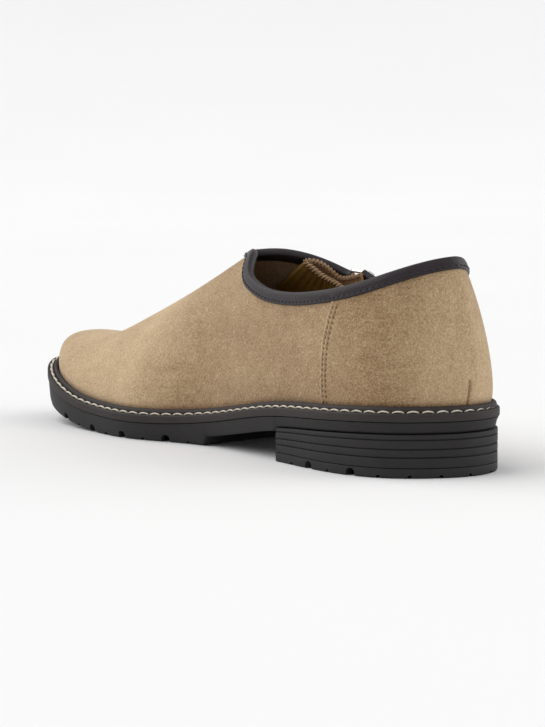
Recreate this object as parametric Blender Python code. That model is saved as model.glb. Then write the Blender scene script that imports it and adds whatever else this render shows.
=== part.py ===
"""A low slip-on shoe for the right foot, sand suede on a dark moulded rubber sole.

The shoe is worked out in its last's own frame: +X runs from the back of the heel to the
toe, +Y to the inner (medial) side of the foot, +Z up, with the floor at Z = 0. Every piece
hangs on one empty that puts the middle of the footprint at the world's origin.
"""

import math

import bmesh
import bpy
import numpy as np
from mathutils import Vector

# Driving sizes of the sole, in metres.
SOLE_LENGTH = 0.300
BALL_WIDTH = 0.106
HEEL_WIDTH = 0.078
HEEL_HEIGHT = 0.0250
TOE_SPRING = 0.0137
BAND_THICKNESS = 0.0038
BAND_OVERHANG = 0.0004
HEEL_LAYER_THICKNESS = 0.0053
OUTSOLE_THICKNESS = 0.0070
LIFT_THICKNESS = 0.0046
HEEL_BREAST = 0.0905
TREAD_END = 0.1520

# The storm rim stands on the band, between the stitches and the upper.
RIM_WIDTH = 0.0020
RIM_HEIGHT = 0.0026
LEDGE_WIDTH = 0.0040

# The upper and what lines and binds it.
UPPER_WALL = 0.0018
QUARTER_STEP = 0.0007
INSTEP_HEIGHT = 0.0930
THROAT_AT = 0.1512
BACK_HEIGHT = 0.0942
ANKLE_HEIGHT = 0.0730
SEAM_AT = 0.0610
INSOLE_THICKNESS = 0.0030
BINDING_WIDTH = 0.0050
BINDING_THICKNESS = 0.0009

CLEARANCE = 0.0003

# Plan outline of the sole, heel to toe: station as a share of SOLE_LENGTH, then how far
# the inner and outer edges lie from the axis as shares of the width that rules there.
# The last column says how much of that width is HEEL_WIDTH (1) and how much BALL_WIDTH (0).
OUTLINE = (
    # station, inner, outer, heel share
    (0.000, 0.000, 0.000, 1.0),
    (0.020, 0.248, 0.244, 1.0),
    (0.068, 0.459, 0.380, 1.0),
    (0.155, 0.556, 0.467, 1.0),
    (0.285, 0.517, 0.518, 1.0),
    (0.410, 0.356, 0.455, 0.1),
    (0.530, 0.330, 0.524, 0.0),
    (0.655, 0.437, 0.560, 0.0),
    (0.745, 0.431, 0.530, 0.0),
    (0.850, 0.399, 0.450, 0.0),
    (0.940, 0.310, 0.320, 0.0),
    (0.988, 0.177, 0.154, 0.0),
    (1.000, 0.020, 0.020, 0.0),
)

# Top of the rubber band along the shoe: station, share of HEEL_HEIGHT, share of TOE_SPRING,
# on top of the forefoot's own thickness.
SEAT = (
    # station, heel, spring
    (0.00, 0.643, 0.00),
    (0.10, 0.626, 0.00),
    (0.20, 0.569, 0.00),
    (0.33, 0.450, 0.00),
    (0.45, 0.215, 0.00),
    (0.58, 0.020, 0.00),
    (0.70, 0.000, 0.01),
    (0.82, 0.000, 0.21),
    (0.92, 0.000, 0.79),
    (1.00, 0.000, 1.36),
)
FOREFOOT_THICKNESS = 0.0125

# Ridge of the last over the foot: station, height as a share of INSTEP_HEIGHT, sideways
# place as a share of BALL_WIDTH. Behind the throat it is the closed cone of the last.
RIDGE = (
    # station, height, sideways
    (0.150, 1.330, 0.020),
    (0.250, 1.290, 0.022),
    (0.350, 1.200, 0.025),
    (0.430, 1.112, 0.030),
    (0.490, 0.998, 0.033),
    (0.520, 0.950, 0.034),
    (0.620, 0.797, 0.036),
    (0.720, 0.656, 0.034),
    (0.800, 0.552, 0.028),
    (0.850, 0.492, 0.026),
    (0.885, 0.479, 0.024),
    (0.920, 0.481, 0.022),
)

# Each rib is a cubic curve from the feather edge to the ridge. Its handles are shares of
# the rib's height (up) and of its half width (out).
RIBS_INNER = (
    # turn, wall up, wall out, crown out, crown up
    (0.00, 0.19, 0.29, 0.82, -0.10),
    (0.20, 0.21, 0.07, 0.94, -0.12),
    (0.36, 0.40, 0.08, 1.15, -0.08),
    (0.50, 0.50, 0.10, 0.72, -0.03),
    (0.65, 0.38, 0.08, 0.59, -0.02),
    (0.80, 0.88, 0.09, 0.60, 0.01),
    (1.00, 0.93, 0.03, 0.44, 0.00),
)
RIBS_OUTER = (
    # turn, wall up, wall out, crown out, crown up
    (0.00, 0.19, 0.29, 0.82, -0.10),
    (0.20, 0.05, 0.13, 0.83, -0.12),
    (0.36, 0.39, 0.03, 0.99, -0.08),
    (0.50, 0.33, 0.07, 0.44, -0.01),
    (0.65, 0.47, 0.10, 0.54, 0.00),
    (0.80, 0.58, 0.12, 0.51, -0.01),
    (1.00, 0.93, 0.03, 0.44, 0.00),
)

# Height of the top edge seen from the side: station as a share of THROAT_AT, then how far
# it has risen from ANKLE_HEIGHT towards BACK_HEIGHT (back) or the throat (front).
TOPLINE_INNER = (
    # station, towards back, towards throat
    (0.00, 1.00, 0.00),
    (0.09, 1.02, 0.00),
    (0.16, 0.81, 0.00),
    (0.26, 0.50, 0.00),
    (0.40, 0.27, 0.00),
    (0.53, 0.13, 0.03),
    (0.63, 0.03, 0.12),
    (0.72, 0.00, 0.21),
    (0.80, 0.00, 0.36),
    (0.85, 0.00, 0.50),
    (0.88, 0.00, 0.67),
    (0.91, 0.00, 0.95),
    (0.95, 0.00, 1.06),
    (1.00, 0.00, 1.00),
)
TOPLINE_OUTER = (
    # station, towards back, towards throat
    (0.00, 1.00, 0.00),
    (0.09, 1.02, 0.00),
    (0.16, 0.81, 0.00),
    (0.26, 0.51, 0.00),
    (0.40, 0.29, 0.04),
    (0.53, 0.14, 0.12),
    (0.62, 0.03, 0.25),
    (0.67, 0.00, 0.34),
    (0.70, 0.00, 0.46),
    (0.73, 0.00, 0.56),
    (0.76, 0.00, 0.47),
    (0.79, 0.00, 0.53),
    (0.85, 0.00, 0.78),
    (0.91, 0.00, 0.98),
    (0.95, 0.00, 1.04),
    (1.00, 0.00, 1.00),
)


def spline(knots, values, at):
    """Natural cubic spline through (knots, values), read at the stations `at`."""
    x = np.asarray(knots, float)
    y = np.asarray(values, float)
    at = np.asarray(at, float)
    step = np.diff(x)
    n = len(x)
    matrix = np.eye(n)
    right = np.zeros((n,) + y.shape[1:])
    slope = (np.diff(y, axis=0).T / step).T
    for i in range(1, n - 1):
        matrix[i, i - 1 : i + 2] = step[i - 1], 2 * (step[i - 1] + step[i]), step[i]
        right[i] = 6 * (slope[i] - slope[i - 1])
    bend = np.linalg.solve(matrix, right)
    i = np.clip(np.searchsorted(x, at, side="right") - 1, 0, n - 2)
    a = (x[i + 1] - at) / step[i]
    b = 1 - a
    if y.ndim > 1:
        a, b = a[..., None], b[..., None]
        span = step[i][..., None]
    else:
        span = step[i]
    cubic = (a**3 - a) * bend[i] + (b**3 - b) * bend[i + 1]
    return a * y[i] + b * y[i + 1] + cubic * span**2 / 6


def column(table, index):
    return np.array([row[index] for row in table], float)


class Outline:
    """A closed plan curve, held as a dense loop of points that starts at the back."""

    DENSE = 1600

    def __init__(self, loop):
        self.loop = loop
        self.back = int(np.argmin(loop[:, 0]))
        self.loop = np.roll(loop, -self.back, axis=0)
        self.front = int(np.argmax(self.loop[:, 0]))
        self.low = self.loop[0, 0]
        self.high = self.loop[self.front, 0]

    @classmethod
    def through(cls, points):
        """Smooth loop through the points: a periodic spline on chord length."""
        ring = np.concatenate([points[-4:], points, points[:5]])
        chord = np.concatenate([[0], np.cumsum(np.linalg.norm(np.diff(ring, axis=0), axis=1))])
        start, end = chord[4], chord[4 + len(points)]
        return cls(spline(chord, ring, np.linspace(start, end, cls.DENSE, endpoint=False)))

    def inset(self, distance):
        """The loop moved inwards by that distance; a negative one moves it outwards."""
        run = np.roll(self.loop, -1, axis=0) - np.roll(self.loop, 1, axis=0)
        run /= np.linalg.norm(run, axis=1)[:, None]
        inwards = np.stack([run[:, 1], -run[:, 0]], axis=1)
        return Outline(self.loop + inwards * distance)

    def edge(self, side, x):
        """Sideways place of the inner (side = 1) or outer (side = -1) edge at x."""
        if side > 0:
            half = self.loop[: self.front + 1]
        else:
            half = np.concatenate([self.loop[self.front :], self.loop[:1]])[::-1]
        return np.interp(x, half[:, 0], half[:, 1])

    def stations(self, turn):
        """Stations that crowd towards both ends, for turn from 0 (back) to 1 (toe)."""
        middle, half = (self.low + self.high) / 2, (self.high - self.low) / 2
        return middle - half * np.cos(np.pi * np.asarray(turn))


def sole_outline():
    """The sole's plan outline at its real size, its back at x = 0 and its tip at SOLE_LENGTH."""
    station = column(OUTLINE, 0) * SOLE_LENGTH
    share = column(OUTLINE, 3)
    rule = share * HEEL_WIDTH + (1 - share) * BALL_WIDTH
    inner = np.stack([station, column(OUTLINE, 1) * rule], axis=1)
    outer = np.stack([station, -column(OUTLINE, 2) * rule], axis=1)[1:-1]
    outline = Outline.through(np.concatenate([inner, outer[::-1]]))
    loop = outline.loop.copy()
    loop[:, 0] = (loop[:, 0] - outline.low) * SOLE_LENGTH / (outline.high - outline.low)
    return Outline(loop)


SOLE = sole_outline()
FEATHER = SOLE.inset(LEDGE_WIDTH + RIM_WIDTH)


def seat_top(x):
    """Height of the band's top, on which the upper stands."""
    rise = column(SEAT, 1) * HEEL_HEIGHT + column(SEAT, 2) * TOE_SPRING
    return FOREFOOT_THICKNESS + spline(column(SEAT, 0) * SOLE_LENGTH, rise, x)


def ground_line(x):
    """Underside of the tread: flat on the floor, then rising to the toe."""
    lift_off = 0.72 * SOLE_LENGTH
    share = np.clip((np.asarray(x, float) - lift_off) / (SOLE_LENGTH - lift_off), 0, 1)
    return TOE_SPRING * share**1.8


def ridge(x):
    """Point of the last's ridge at station x."""
    station = column(RIDGE, 0) * SOLE_LENGTH
    height = spline(station, column(RIDGE, 1) * INSTEP_HEIGHT, x)
    sideways = spline(station, column(RIDGE, 2) * BALL_WIDTH, x)
    return np.stack([x, sideways, height], axis=-1)


def rib(side, turn, share):
    """Point of the last's surface. turn runs 0 to 1 from heel to toe, share 0 to 1 from
    the feather edge to the ridge: a cubic curve between the two, handles from the tables."""
    turn, share = np.broadcast_arrays(np.asarray(turn, float), np.asarray(share, float))
    x = FEATHER.stations(turn)
    foot = np.stack([x, FEATHER.edge(side, x), seat_top(x) + CLEARANCE], axis=-1)
    first, last = RIDGE[0][0] * SOLE_LENGTH, RIDGE[-1][0] * SOLE_LENGTH
    swing = -np.cos(np.pi * turn)
    eased = 0.7 * np.sin(np.pi / 2 * swing) + 0.3 * swing
    top = ridge((first + last) / 2 + eased * (last - first) / 2)
    table = RIBS_INNER if side > 0 else RIBS_OUTER
    handle = spline(column(table, 0), np.array([row[1:] for row in table], float), turn)
    out = foot - top
    height = -out[..., 2:]
    out = out * (1, 1, 0)
    up = height * (0, 0, 1)
    first_handle = foot + up * handle[..., 0:1] + out * handle[..., 1:2]
    last_handle = top + out * handle[..., 2:3] + up * handle[..., 3:4]
    t = share[..., None]
    return (
        (1 - t) ** 3 * foot
        + 3 * (1 - t) ** 2 * t * first_handle
        + 3 * (1 - t) * t**2 * last_handle
        + t**3 * top
    )


def normal(side, turn, share):
    """Unit normal of the last's surface, pointing out of the shoe."""
    step = 1e-4
    turn = np.clip(np.asarray(turn, float), 2 * step, 1 - 2 * step)
    share = np.clip(np.asarray(share, float), step, 1 - step)
    along = rib(side, turn + step, share) - rib(side, turn - step, share)
    up = rib(side, turn, share + step) - rib(side, turn, share - step)
    across = np.cross(up, along) * side
    return across / np.linalg.norm(across, axis=-1, keepdims=True)


def topline(side, x):
    """Height of the raw top edge at station x."""
    table = TOPLINE_INNER if side > 0 else TOPLINE_OUTER
    station = column(table, 0) * THROAT_AT
    throat = float(ridge(THROAT_AT)[2])
    height = (
        ANKLE_HEIGHT
        + column(table, 1) * (BACK_HEIGHT - ANKLE_HEIGHT)
        + column(table, 2) * (throat - ANKLE_HEIGHT)
    )
    return spline(station, height, x)


def throat_turn():
    """The turn whose rib ends at the throat point of the ridge."""
    low, high = 0.2, 0.9
    for _ in range(50):
        middle = (low + high) / 2
        if rib(1, middle, 1.0)[0] < THROAT_AT:
            low = middle
        else:
            high = middle
    return low


THROAT_TURN = throat_turn()


def cut_share(side, turn):
    """Share of each rib that is left below the top edge."""
    turn = np.atleast_1d(np.asarray(turn, float))
    low, high = np.full(turn.shape, 0.2), np.ones(turn.shape)
    for _ in range(40):
        middle = (low + high) / 2
        point = rib(side, turn, middle)
        below = point[:, 2] < topline(side, point[:, 0])
        low, high = np.where(below, middle, low), np.where(below, high, middle)
    return np.where(turn >= THROAT_TURN - 1e-9, 1.0, low)


# Everything that shows hangs on this empty, and cutters stay in a collection of their own.
def clear_scene():
    for obj in list(bpy.data.objects):
        bpy.data.objects.remove(obj, do_unlink=True)


clear_scene()
PARTS = bpy.data.collections.new("shoe")
CUTTERS = bpy.data.collections.new("cutters")
bpy.context.scene.collection.children.link(PARTS)
bpy.context.scene.collection.children.link(CUTTERS)
CUTTERS.hide_render = True
FRAME = bpy.data.objects.new("shoe_frame", None)
PARTS.objects.link(FRAME)
FRAME.location = (
    -SOLE_LENGTH / 2,
    -(SOLE.loop[:, 1].max() + SOLE.loop[:, 1].min()) / 2,
    0,
)


def material(name, colour, roughness, metallic=0.0):
    made = bpy.data.materials.new(name)
    made.use_nodes = True
    shader = made.node_tree.nodes["Principled BSDF"]
    shader.inputs["Base Color"].default_value = (*colour, 1)
    shader.inputs["Roughness"].default_value = roughness
    shader.inputs["Metallic"].default_value = metallic
    return made


SUEDE = material("sand_suede", (0.42, 0.29, 0.18), 0.9)
RUBBER = material("dark_rubber", (0.045, 0.042, 0.042), 0.55)
BINDING_LEATHER = material("dark_binding", (0.05, 0.04, 0.038), 0.4)
INSOLE_LEATHER = material("insole_leather", (0.16, 0.10, 0.045), 0.7)


def keep(name, mesh, finish, smooth_angle=35):
    """Makes a mesh one of the shoe's pieces."""
    mesh.shade_smooth()
    mesh.set_sharp_from_angle(angle=math.radians(smooth_angle))
    mesh.materials.append(finish)
    obj = bpy.data.objects.new(name, mesh)
    PARTS.objects.link(obj)
    obj.parent = FRAME
    return obj


def mesh_of(name, points, faces, weld=1e-6):
    """A mesh from points and faces, doubles welded and faces turned outwards."""
    mesh = bpy.data.meshes.new(name)
    mesh.from_pydata([tuple(p) for p in points], [], [tuple(int(i) for i in f) for f in faces])
    work = bmesh.new()
    work.from_mesh(mesh)
    bmesh.ops.remove_doubles(work, verts=work.verts, dist=weld)
    bmesh.ops.recalc_face_normals(work, faces=work.faces)
    work.to_mesh(mesh)
    work.free()
    return mesh


def weave(rows, columns, start=0, closed=False):
    """Quads over a grid of points stored row after row; closed joins the last column to
    the first."""
    faces = []
    for i in range(rows - 1):
        for j in range(columns if closed else columns - 1):
            k = (j + 1) % columns
            a, b = start + i * columns, start + (i + 1) * columns
            faces.append((a + j, a + k, b + k, b + j))
    return faces


def slab(name, outer, inner):
    """A closed sheet between two grids of points of the same size."""
    rows, columns = outer.shape[:2]
    size = rows * columns
    faces = weave(rows, columns) + weave(rows, columns, size)
    around = [j for j in range(columns)]
    around += [i * columns + columns - 1 for i in range(1, rows)]
    around += [(rows - 1) * columns + j for j in range(columns - 2, -1, -1)]
    around += [i * columns for i in range(rows - 2, 0, -1)]
    for a, b in zip(around, around[1:] + around[:1]):
        faces.append((a, b, b + size, a + size))
    return mesh_of(name, np.concatenate([outer.reshape(-1, 3), inner.reshape(-1, 3)]), faces)


def stack(name, outline, levels, turns):
    """A solid with the outline's plan, lofted from the floor upwards through levels of
    (inset, height along the shoe). The turns give its stations from the back forwards; if
    they stop short of 1 the solid ends in a straight face across the shoe. Its caps are
    ladders of rungs from edge to edge, so they follow the height along the shoe."""
    turns = np.asarray(turns, float)
    rings = []
    for inset, height in levels:
        level = outline.inset(inset)
        x = level.stations(turns)
        inner = np.stack([x, level.edge(1, x), height(x)], axis=1)
        outer = np.stack([x, level.edge(-1, x), height(x)], axis=1)
        rings.append(np.concatenate([inner, outer[::-1]]))
    size = 2 * len(turns)
    faces = weave(len(rings), size, closed=True)
    for base in (0, (len(rings) - 1) * size):
        for i in range(len(turns) - 1):
            faces.append((base + i, base + i + 1, base + size - i - 2, base + size - i - 1))
    return mesh_of(name, np.concatenate(rings), faces)


def turn_at(outline, x):
    """The turn whose station is x."""
    middle, half = (outline.low + outline.high) / 2, (outline.high - outline.low) / 2
    return float(np.arccos((middle - x) / half) / np.pi)


def cut(obj, cutter_mesh, name):
    """Takes a closed mesh away from a piece."""
    cutter = bpy.data.objects.new(name, cutter_mesh)
    CUTTERS.objects.link(cutter)
    cutter.parent = FRAME
    cutter.hide_render = True
    cutter.display_type = "WIRE"
    knife = obj.modifiers.new(name, "BOOLEAN")
    knife.operation = "DIFFERENCE"
    knife.solver = "EXACT"
    knife.object = cutter


# The band under the upper: its edge shows as a line all round and carries the stitches.
def band_bottom(x):
    return seat_top(x) - BAND_THICKNESS


keep(
    "midsole",
    stack(
        "midsole",
        SOLE,
        [
            (BAND_OVERHANG, band_bottom),
            (0.0, lambda x: band_bottom(x) + 0.0006),
            (0.0, lambda x: seat_top(x) - 0.0007),
            (0.0007, seat_top),
        ],
        np.linspace(0, 1, 41),
    ),
    RUBBER,
)


# The outsole: a layer under the whole band, with the tread's pad under the forefoot.
LAYER_STEP = HEEL_BREAST + 5 * CLEARANCE


def layer_bottom(x):
    """Thinner over the heel, whose block stands behind the step."""
    over_heel = np.asarray(x, float) < LAYER_STEP + CLEARANCE
    return band_bottom(x) - np.where(over_heel, HEEL_LAYER_THICKNESS, OUTSOLE_THICKNESS)


def tread_bottom(x):
    """The layer's underside, stepping down to the tread at TREAD_END."""
    x = np.asarray(x, float)
    rise = 0.0010 * np.clip((TREAD_END + 0.014 - x) / 0.014, 0, 1) ** 2
    return np.where(x < TREAD_END, layer_bottom(x), ground_line(x) + rise)


def with_steps(even, steps):
    """The even turns with a close pair of turns at each step in their place."""
    for step in steps:
        even = np.concatenate([even[abs(even - step) > 0.008], [step - 0.002, step + 0.002]])
    return np.sort(even)


sole_turns = with_steps(
    np.linspace(0, 1, 39), [turn_at(SOLE, LAYER_STEP), turn_at(SOLE, TREAD_END)]
)
OUTSOLE = keep(
    "outsole",
    stack(
        "outsole",
        SOLE,
        [
            (BAND_OVERHANG + 0.0022, tread_bottom),
            (BAND_OVERHANG + 0.0010, lambda x: tread_bottom(x) + 0.0014),
            (BAND_OVERHANG + 0.0004, lambda x: band_bottom(x) - CLEARANCE),
        ],
        sole_turns,
    ),
    RUBBER,
)


# The heel: a block with grooves all round, on a lift of its own.
HEEL_GROOVES = (
    # depth below the heel layer as a share of the block's height, at the block's back
    0.16,
    0.44,
    0.69,
)
GROOVE = 0.0005


def block_top(x):
    return layer_bottom(x) - CLEARANCE


def block_level(share):
    """Height between the block's top (0) and the lift (1)."""
    return lambda x: block_top(x) + share * (LIFT_THICKNESS - block_top(x))


heel_turns = np.linspace(0, 1, 15) * turn_at(SOLE, HEEL_BREAST)
edge = BAND_OVERHANG + 0.0004
levels = [(edge, lambda x: np.full_like(x, LIFT_THICKNESS))]
for share in reversed(HEEL_GROOVES):
    levels += [
        (edge, lambda x, s=share: block_level(s)(x) - GROOVE / 2),
        (edge + GROOVE, lambda x, s=share: block_level(s)(x) - GROOVE / 4),
        (edge + GROOVE, lambda x, s=share: block_level(s)(x) + GROOVE / 4),
        (edge, lambda x, s=share: block_level(s)(x) + GROOVE / 2),
    ]
levels += [(edge, lambda x: block_top(x) - GROOVE / 2), (edge + GROOVE / 2, block_top)]
keep("heel_block", stack("heel_block", SOLE, levels, heel_turns), RUBBER)

LIFT = keep(
    "heel_lift",
    stack(
        "heel_lift",
        SOLE,
        [
            (edge + 0.0010, lambda x: np.zeros_like(x)),
            (edge, lambda x: np.full_like(x, 0.0010)),
            (edge, lambda x: np.full_like(x, LIFT_THICKNESS - CLEARANCE)),
        ],
        heel_turns,
    ),
    RUBBER,
)

# Notches in the tread's edge: wide ones and narrow ones in turn.
NOTCH_PITCH = 0.0133
WIDE_NOTCH = (0.0048, 0.0110, 0.0036)
NARROW_NOTCH = (0.0020, 0.0050, 0.0015)


def notches(path, sizes, name):
    """Boxes of (along, inwards, up) set NOTCH_PITCH apart along a plan path that starts
    half a pitch before the first; the outside of the sole is on the path's left."""
    run = np.concatenate([[0], np.cumsum(np.linalg.norm(np.diff(path, axis=0), axis=1))])
    work = bmesh.new()
    for i, (along, inwards, up) in enumerate(sizes):
        distance = (i + 0.5) * run[-1] / len(sizes)
        spot = np.array([np.interp(distance, run, path[:, k]) for k in (0, 1)])
        ahead = np.array([np.interp(distance + 0.002, run, path[:, k]) for k in (0, 1)])
        direction = (ahead - spot) / np.linalg.norm(ahead - spot)
        inside = np.array([direction[1], -direction[0]])
        middle = spot + inside * (inwards / 2 - 0.002)
        floor = float(ground_line(spot[0])) - 0.004
        made = bmesh.ops.create_cube(work, size=1.0)["verts"]
        for vertex in made:
            a, b, c = vertex.co
            place = middle + direction * a * along + inside * b * (inwards + 0.004)
            vertex.co = Vector((*place, floor + (c + 0.5) * (up + 0.004)))
    bmesh.ops.recalc_face_normals(work, faces=work.faces)
    mesh = bpy.data.meshes.new(name)
    work.to_mesh(mesh)
    work.free()
    return mesh


tread_edge = SOLE.inset(BAND_OVERHANG + 0.0022).loop
fore = tread_edge[tread_edge[:, 0] > TREAD_END + 0.004]
count = round(np.linalg.norm(np.diff(fore, axis=0), axis=1).sum() / NOTCH_PITCH)
fore_sizes = [WIDE_NOTCH if i % 2 else NARROW_NOTCH for i in range(count)]
cut(OUTSOLE, notches(fore, fore_sizes, "fore_notches"), "fore_notches")

lift_edge = SOLE.inset(edge + 0.0010).loop
rear = np.roll(lift_edge, len(lift_edge) // 2, axis=0)
rear = rear[rear[:, 0] < HEEL_BREAST - 0.006]
count = round(np.linalg.norm(np.diff(rear, axis=0), axis=1).sum() / NOTCH_PITCH)
rear_sizes = [
    WIDE_NOTCH if min(i, count - 1 - i) in (1, 3) else NARROW_NOTCH for i in range(count)
]
cut(LIFT, notches(rear, rear_sizes, "rear_notches"), "rear_notches")


# The upper, one hollow shell from the feather edge to the top edge.
SEAM_TURN = turn_at(FEATHER, SEAM_AT)


def upper_stations(count):
    """Turns of the upper's ribs: even, with more of them just behind the throat, where the
    top edge swings across the instep, and a close pair where the quarter steps up."""
    even = np.linspace(0, 1, count + 1)
    behind = [1.0, 0.80, 0.64, 0.52, 0.43, 0.35, 0.27, 0.19, 0.11, 0.03, 0, -0.09, -0.22]
    behind = 0.085 * np.array(behind)
    crowd = THROAT_TURN - behind
    seam = [SEAM_TURN - 0.0006, SEAM_TURN + 0.0006]
    spare = (even < crowd[0] - 0.006) | (even > crowd[-1] + 0.008)
    spare &= abs(even - SEAM_TURN) > 0.008
    return np.sort(np.concatenate([even[spare], crowd, seam]))


def layers(turn, share):
    """Points of the surface and its normals for both sides, shape (2, turns, shares, 3);
    where the sides meet they share one normal."""
    points = np.stack([rib(s, turn[:, None], share[k]) for k, s in enumerate((1, -1))])
    normals = np.stack([normal(s, turn[:, None], share[k]) for k, s in enumerate((1, -1))])
    mean = normals.mean(axis=0)
    mean /= np.linalg.norm(mean, axis=-1, keepdims=True)
    meet = np.zeros(points.shape[1:3], bool)
    meet[0] = meet[-1] = True
    meet |= share[0] >= 1
    normals = np.where(meet[None, ..., None], mean[None], normals)
    return points, normals


def quarter_rise(turn):
    """How far the quarter, behind the side seam, stands over the vamp."""
    return np.where(turn < SEAM_TURN, QUARTER_STEP, 0.0)[:, None, None]


def upper_mesh(count, rows):
    turn = upper_stations(count)
    level = np.linspace(0, 1, rows + 1)
    share = np.stack([cut_share(s, turn)[:, None] * level for s in (1, -1)])
    points, normals = layers(turn, share)
    outer = points + normals * quarter_rise(turn)
    inner = points - normals * UPPER_WALL
    outer[:, :, 0, 2] = points[:, :, 0, 2]
    inner[:, :, 0, 2] = points[:, :, 0, 2]
    n, m = len(turn), rows + 1
    vertices, faces = [], []
    for side in (0, 1):
        a = 2 * side * n * m
        b = a + n * m
        faces += weave(n, m, a) + weave(n, m, b)
        for i in range(n - 1):
            p, q = i * m, (i + 1) * m
            faces.append((a + p, a + q, b + q, b + p))
            if turn[i + 1] <= THROAT_TURN + 1e-9:
                p, q = p + rows, q + rows
                faces.append((a + p, a + q, b + q, b + p))
        vertices += [outer[side].reshape(-1, 3), inner[side].reshape(-1, 3)]
    return mesh_of("upper", np.concatenate(vertices), faces, weld=4e-5)


UPPER = keep("upper", upper_mesh(40, 10), SUEDE)


def touch(side, target, turn, share):
    """The surface's point nearest to each target, searched from a first guess: repeated
    small steps in turn and share along the surface's own tangents."""
    turn, share = np.array(turn, float), np.array(share, float)
    small = 1e-5
    for _ in range(12):
        here = rib(side, turn, share)
        along = (rib(side, turn + small, share) - here) / small
        up = (rib(side, turn, share + small) - here) / small
        miss = target - here
        aa, au, uu = (along**2).sum(-1), (along * up).sum(-1), (up**2).sum(-1)
        ma, mu = (miss * along).sum(-1), (miss * up).sum(-1)
        pivot = aa * uu - au**2
        turn = np.clip(turn + np.clip((ma * uu - mu * au) / pivot, -0.02, 0.02), 0.0005, 0.9995)
        share = np.clip(share + np.clip((mu * aa - ma * au) / pivot, -0.05, 0.05), 0.0, 1.04)
    return rib(side, turn, share), normal(side, turn, share)


def on_upper(side, x, z):
    """Surface point and normal at station x and height z."""
    x, z = np.broadcast_arrays(np.asarray(x, float), np.asarray(z, float))
    turn = np.full(x.shape, 0.4)
    share = np.full(x.shape, 0.5)
    small = 1e-5
    for _ in range(30):
        here = rib(side, turn, share)
        along = (rib(side, turn + small, share) - here) / small
        up = (rib(side, turn, share + small) - here) / small
        mx, mz = x - here[..., 0], z - here[..., 2]
        pivot = along[..., 0] * up[..., 2] - along[..., 2] * up[..., 0]
        turn = np.clip(
            turn + np.clip((mx * up[..., 2] - mz * up[..., 0]) / pivot, -0.05, 0.05), 0.01, 0.99
        )
        share = np.clip(
            share + np.clip((mz * along[..., 0] - mx * along[..., 2]) / pivot, -0.1, 0.1), 0, 1
        )
    return rib(side, turn, share), normal(side, turn, share)


# The storm rim hugs the foot of the upper.
def rim_loop():
    """Plan outline of the upper at the rim's height."""
    turn = np.linspace(0, 1, 81)
    sides = []
    for side in (1, -1):
        low, high = np.zeros_like(turn), np.full_like(turn, 0.4)
        for _ in range(30):
            middle = (low + high) / 2
            point = rib(side, turn, middle)
            under = point[:, 2] < seat_top(point[:, 0]) + RIM_HEIGHT
            low, high = np.where(under, middle, low), np.where(under, high, middle)
        sides.append(rib(side, turn, low)[:, :2])
    return Outline.through(np.concatenate([sides[0], sides[1][1:-1][::-1]])[::2])


def ring(name, inside, outside, levels, turns):
    """A closed ring between two plan outlines. Levels are (share of the way from the inside
    to the outside, height along the shoe), in order around the ring's section."""
    loops = []
    for share, height in levels:
        lines = []
        for side in (1, -1):
            near_x, far_x = inside.stations(turns), outside.stations(turns)
            x = near_x + share * (far_x - near_x)
            near, far = inside.edge(side, near_x), outside.edge(side, far_x)
            lines.append(np.stack([x, near + share * (far - near), height(x)], axis=1))
        loops.append(np.concatenate([lines[0], lines[1][1:-1][::-1]]))
    section, size = len(levels), len(loops[0])
    faces = weave(section, size, closed=True)
    for j in range(size):
        k = (j + 1) % size
        last = (section - 1) * size
        faces.append((last + j, last + k, k, j))
    return mesh_of(name, np.concatenate(loops), faces)


RIM_INSIDE = rim_loop().inset(-CLEARANCE - QUARTER_STEP)
keep(
    "welt",
    ring(
        "welt",
        RIM_INSIDE,
        RIM_INSIDE.inset(-RIM_WIDTH),
        [
            (0.00, lambda x: seat_top(x) + CLEARANCE + 0.0006),
            (0.30, lambda x: seat_top(x) + CLEARANCE),
            (1.00, lambda x: seat_top(x) + CLEARANCE),
            (1.00, lambda x: seat_top(x) + 0.55 * RIM_HEIGHT),
            (0.65, lambda x: seat_top(x) + RIM_HEIGHT),
            (0.20, lambda x: seat_top(x) + RIM_HEIGHT),
        ],
        np.linspace(0, 1, 41),
    ),
    RUBBER,
)

# The insole lies on the band, inside the upper.
INSOLE_EDGE = FEATHER.inset(UPPER_WALL + 0.0012)
keep(
    "insole",
    stack(
        "insole",
        INSOLE_EDGE,
        [
            (0.0, lambda x: seat_top(x) + CLEARANCE),
            (0.0, lambda x: seat_top(x) + CLEARANCE + 0.7 * INSOLE_THICKNESS),
            (0.0010, lambda x: seat_top(x) + CLEARANCE + INSOLE_THICKNESS),
        ],
        np.linspace(0, 1, 29),
    ),
    INSOLE_LEATHER,
)


# The binding folds over the top edge: a channel with a leg down each face of the upper.
def top_edge():
    """Ribs along the top edge, from the back round the inner side to the throat and on to
    the back again: side, turn and share of each."""
    turn = upper_stations(40)
    turn = turn[turn <= THROAT_TURN + 1e-9]
    keep_apart = np.concatenate([[True], np.diff(turn) > 0.0015])
    turn = turn[keep_apart]
    inner, outer = cut_share(1, turn), cut_share(-1, turn)
    side = np.concatenate([np.ones(len(turn)), -np.ones(len(turn) - 2)])
    turns = np.concatenate([turn, turn[1:-1][::-1]])
    return side, turns, np.concatenate([inner, outer[1:-1][::-1]])


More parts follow.
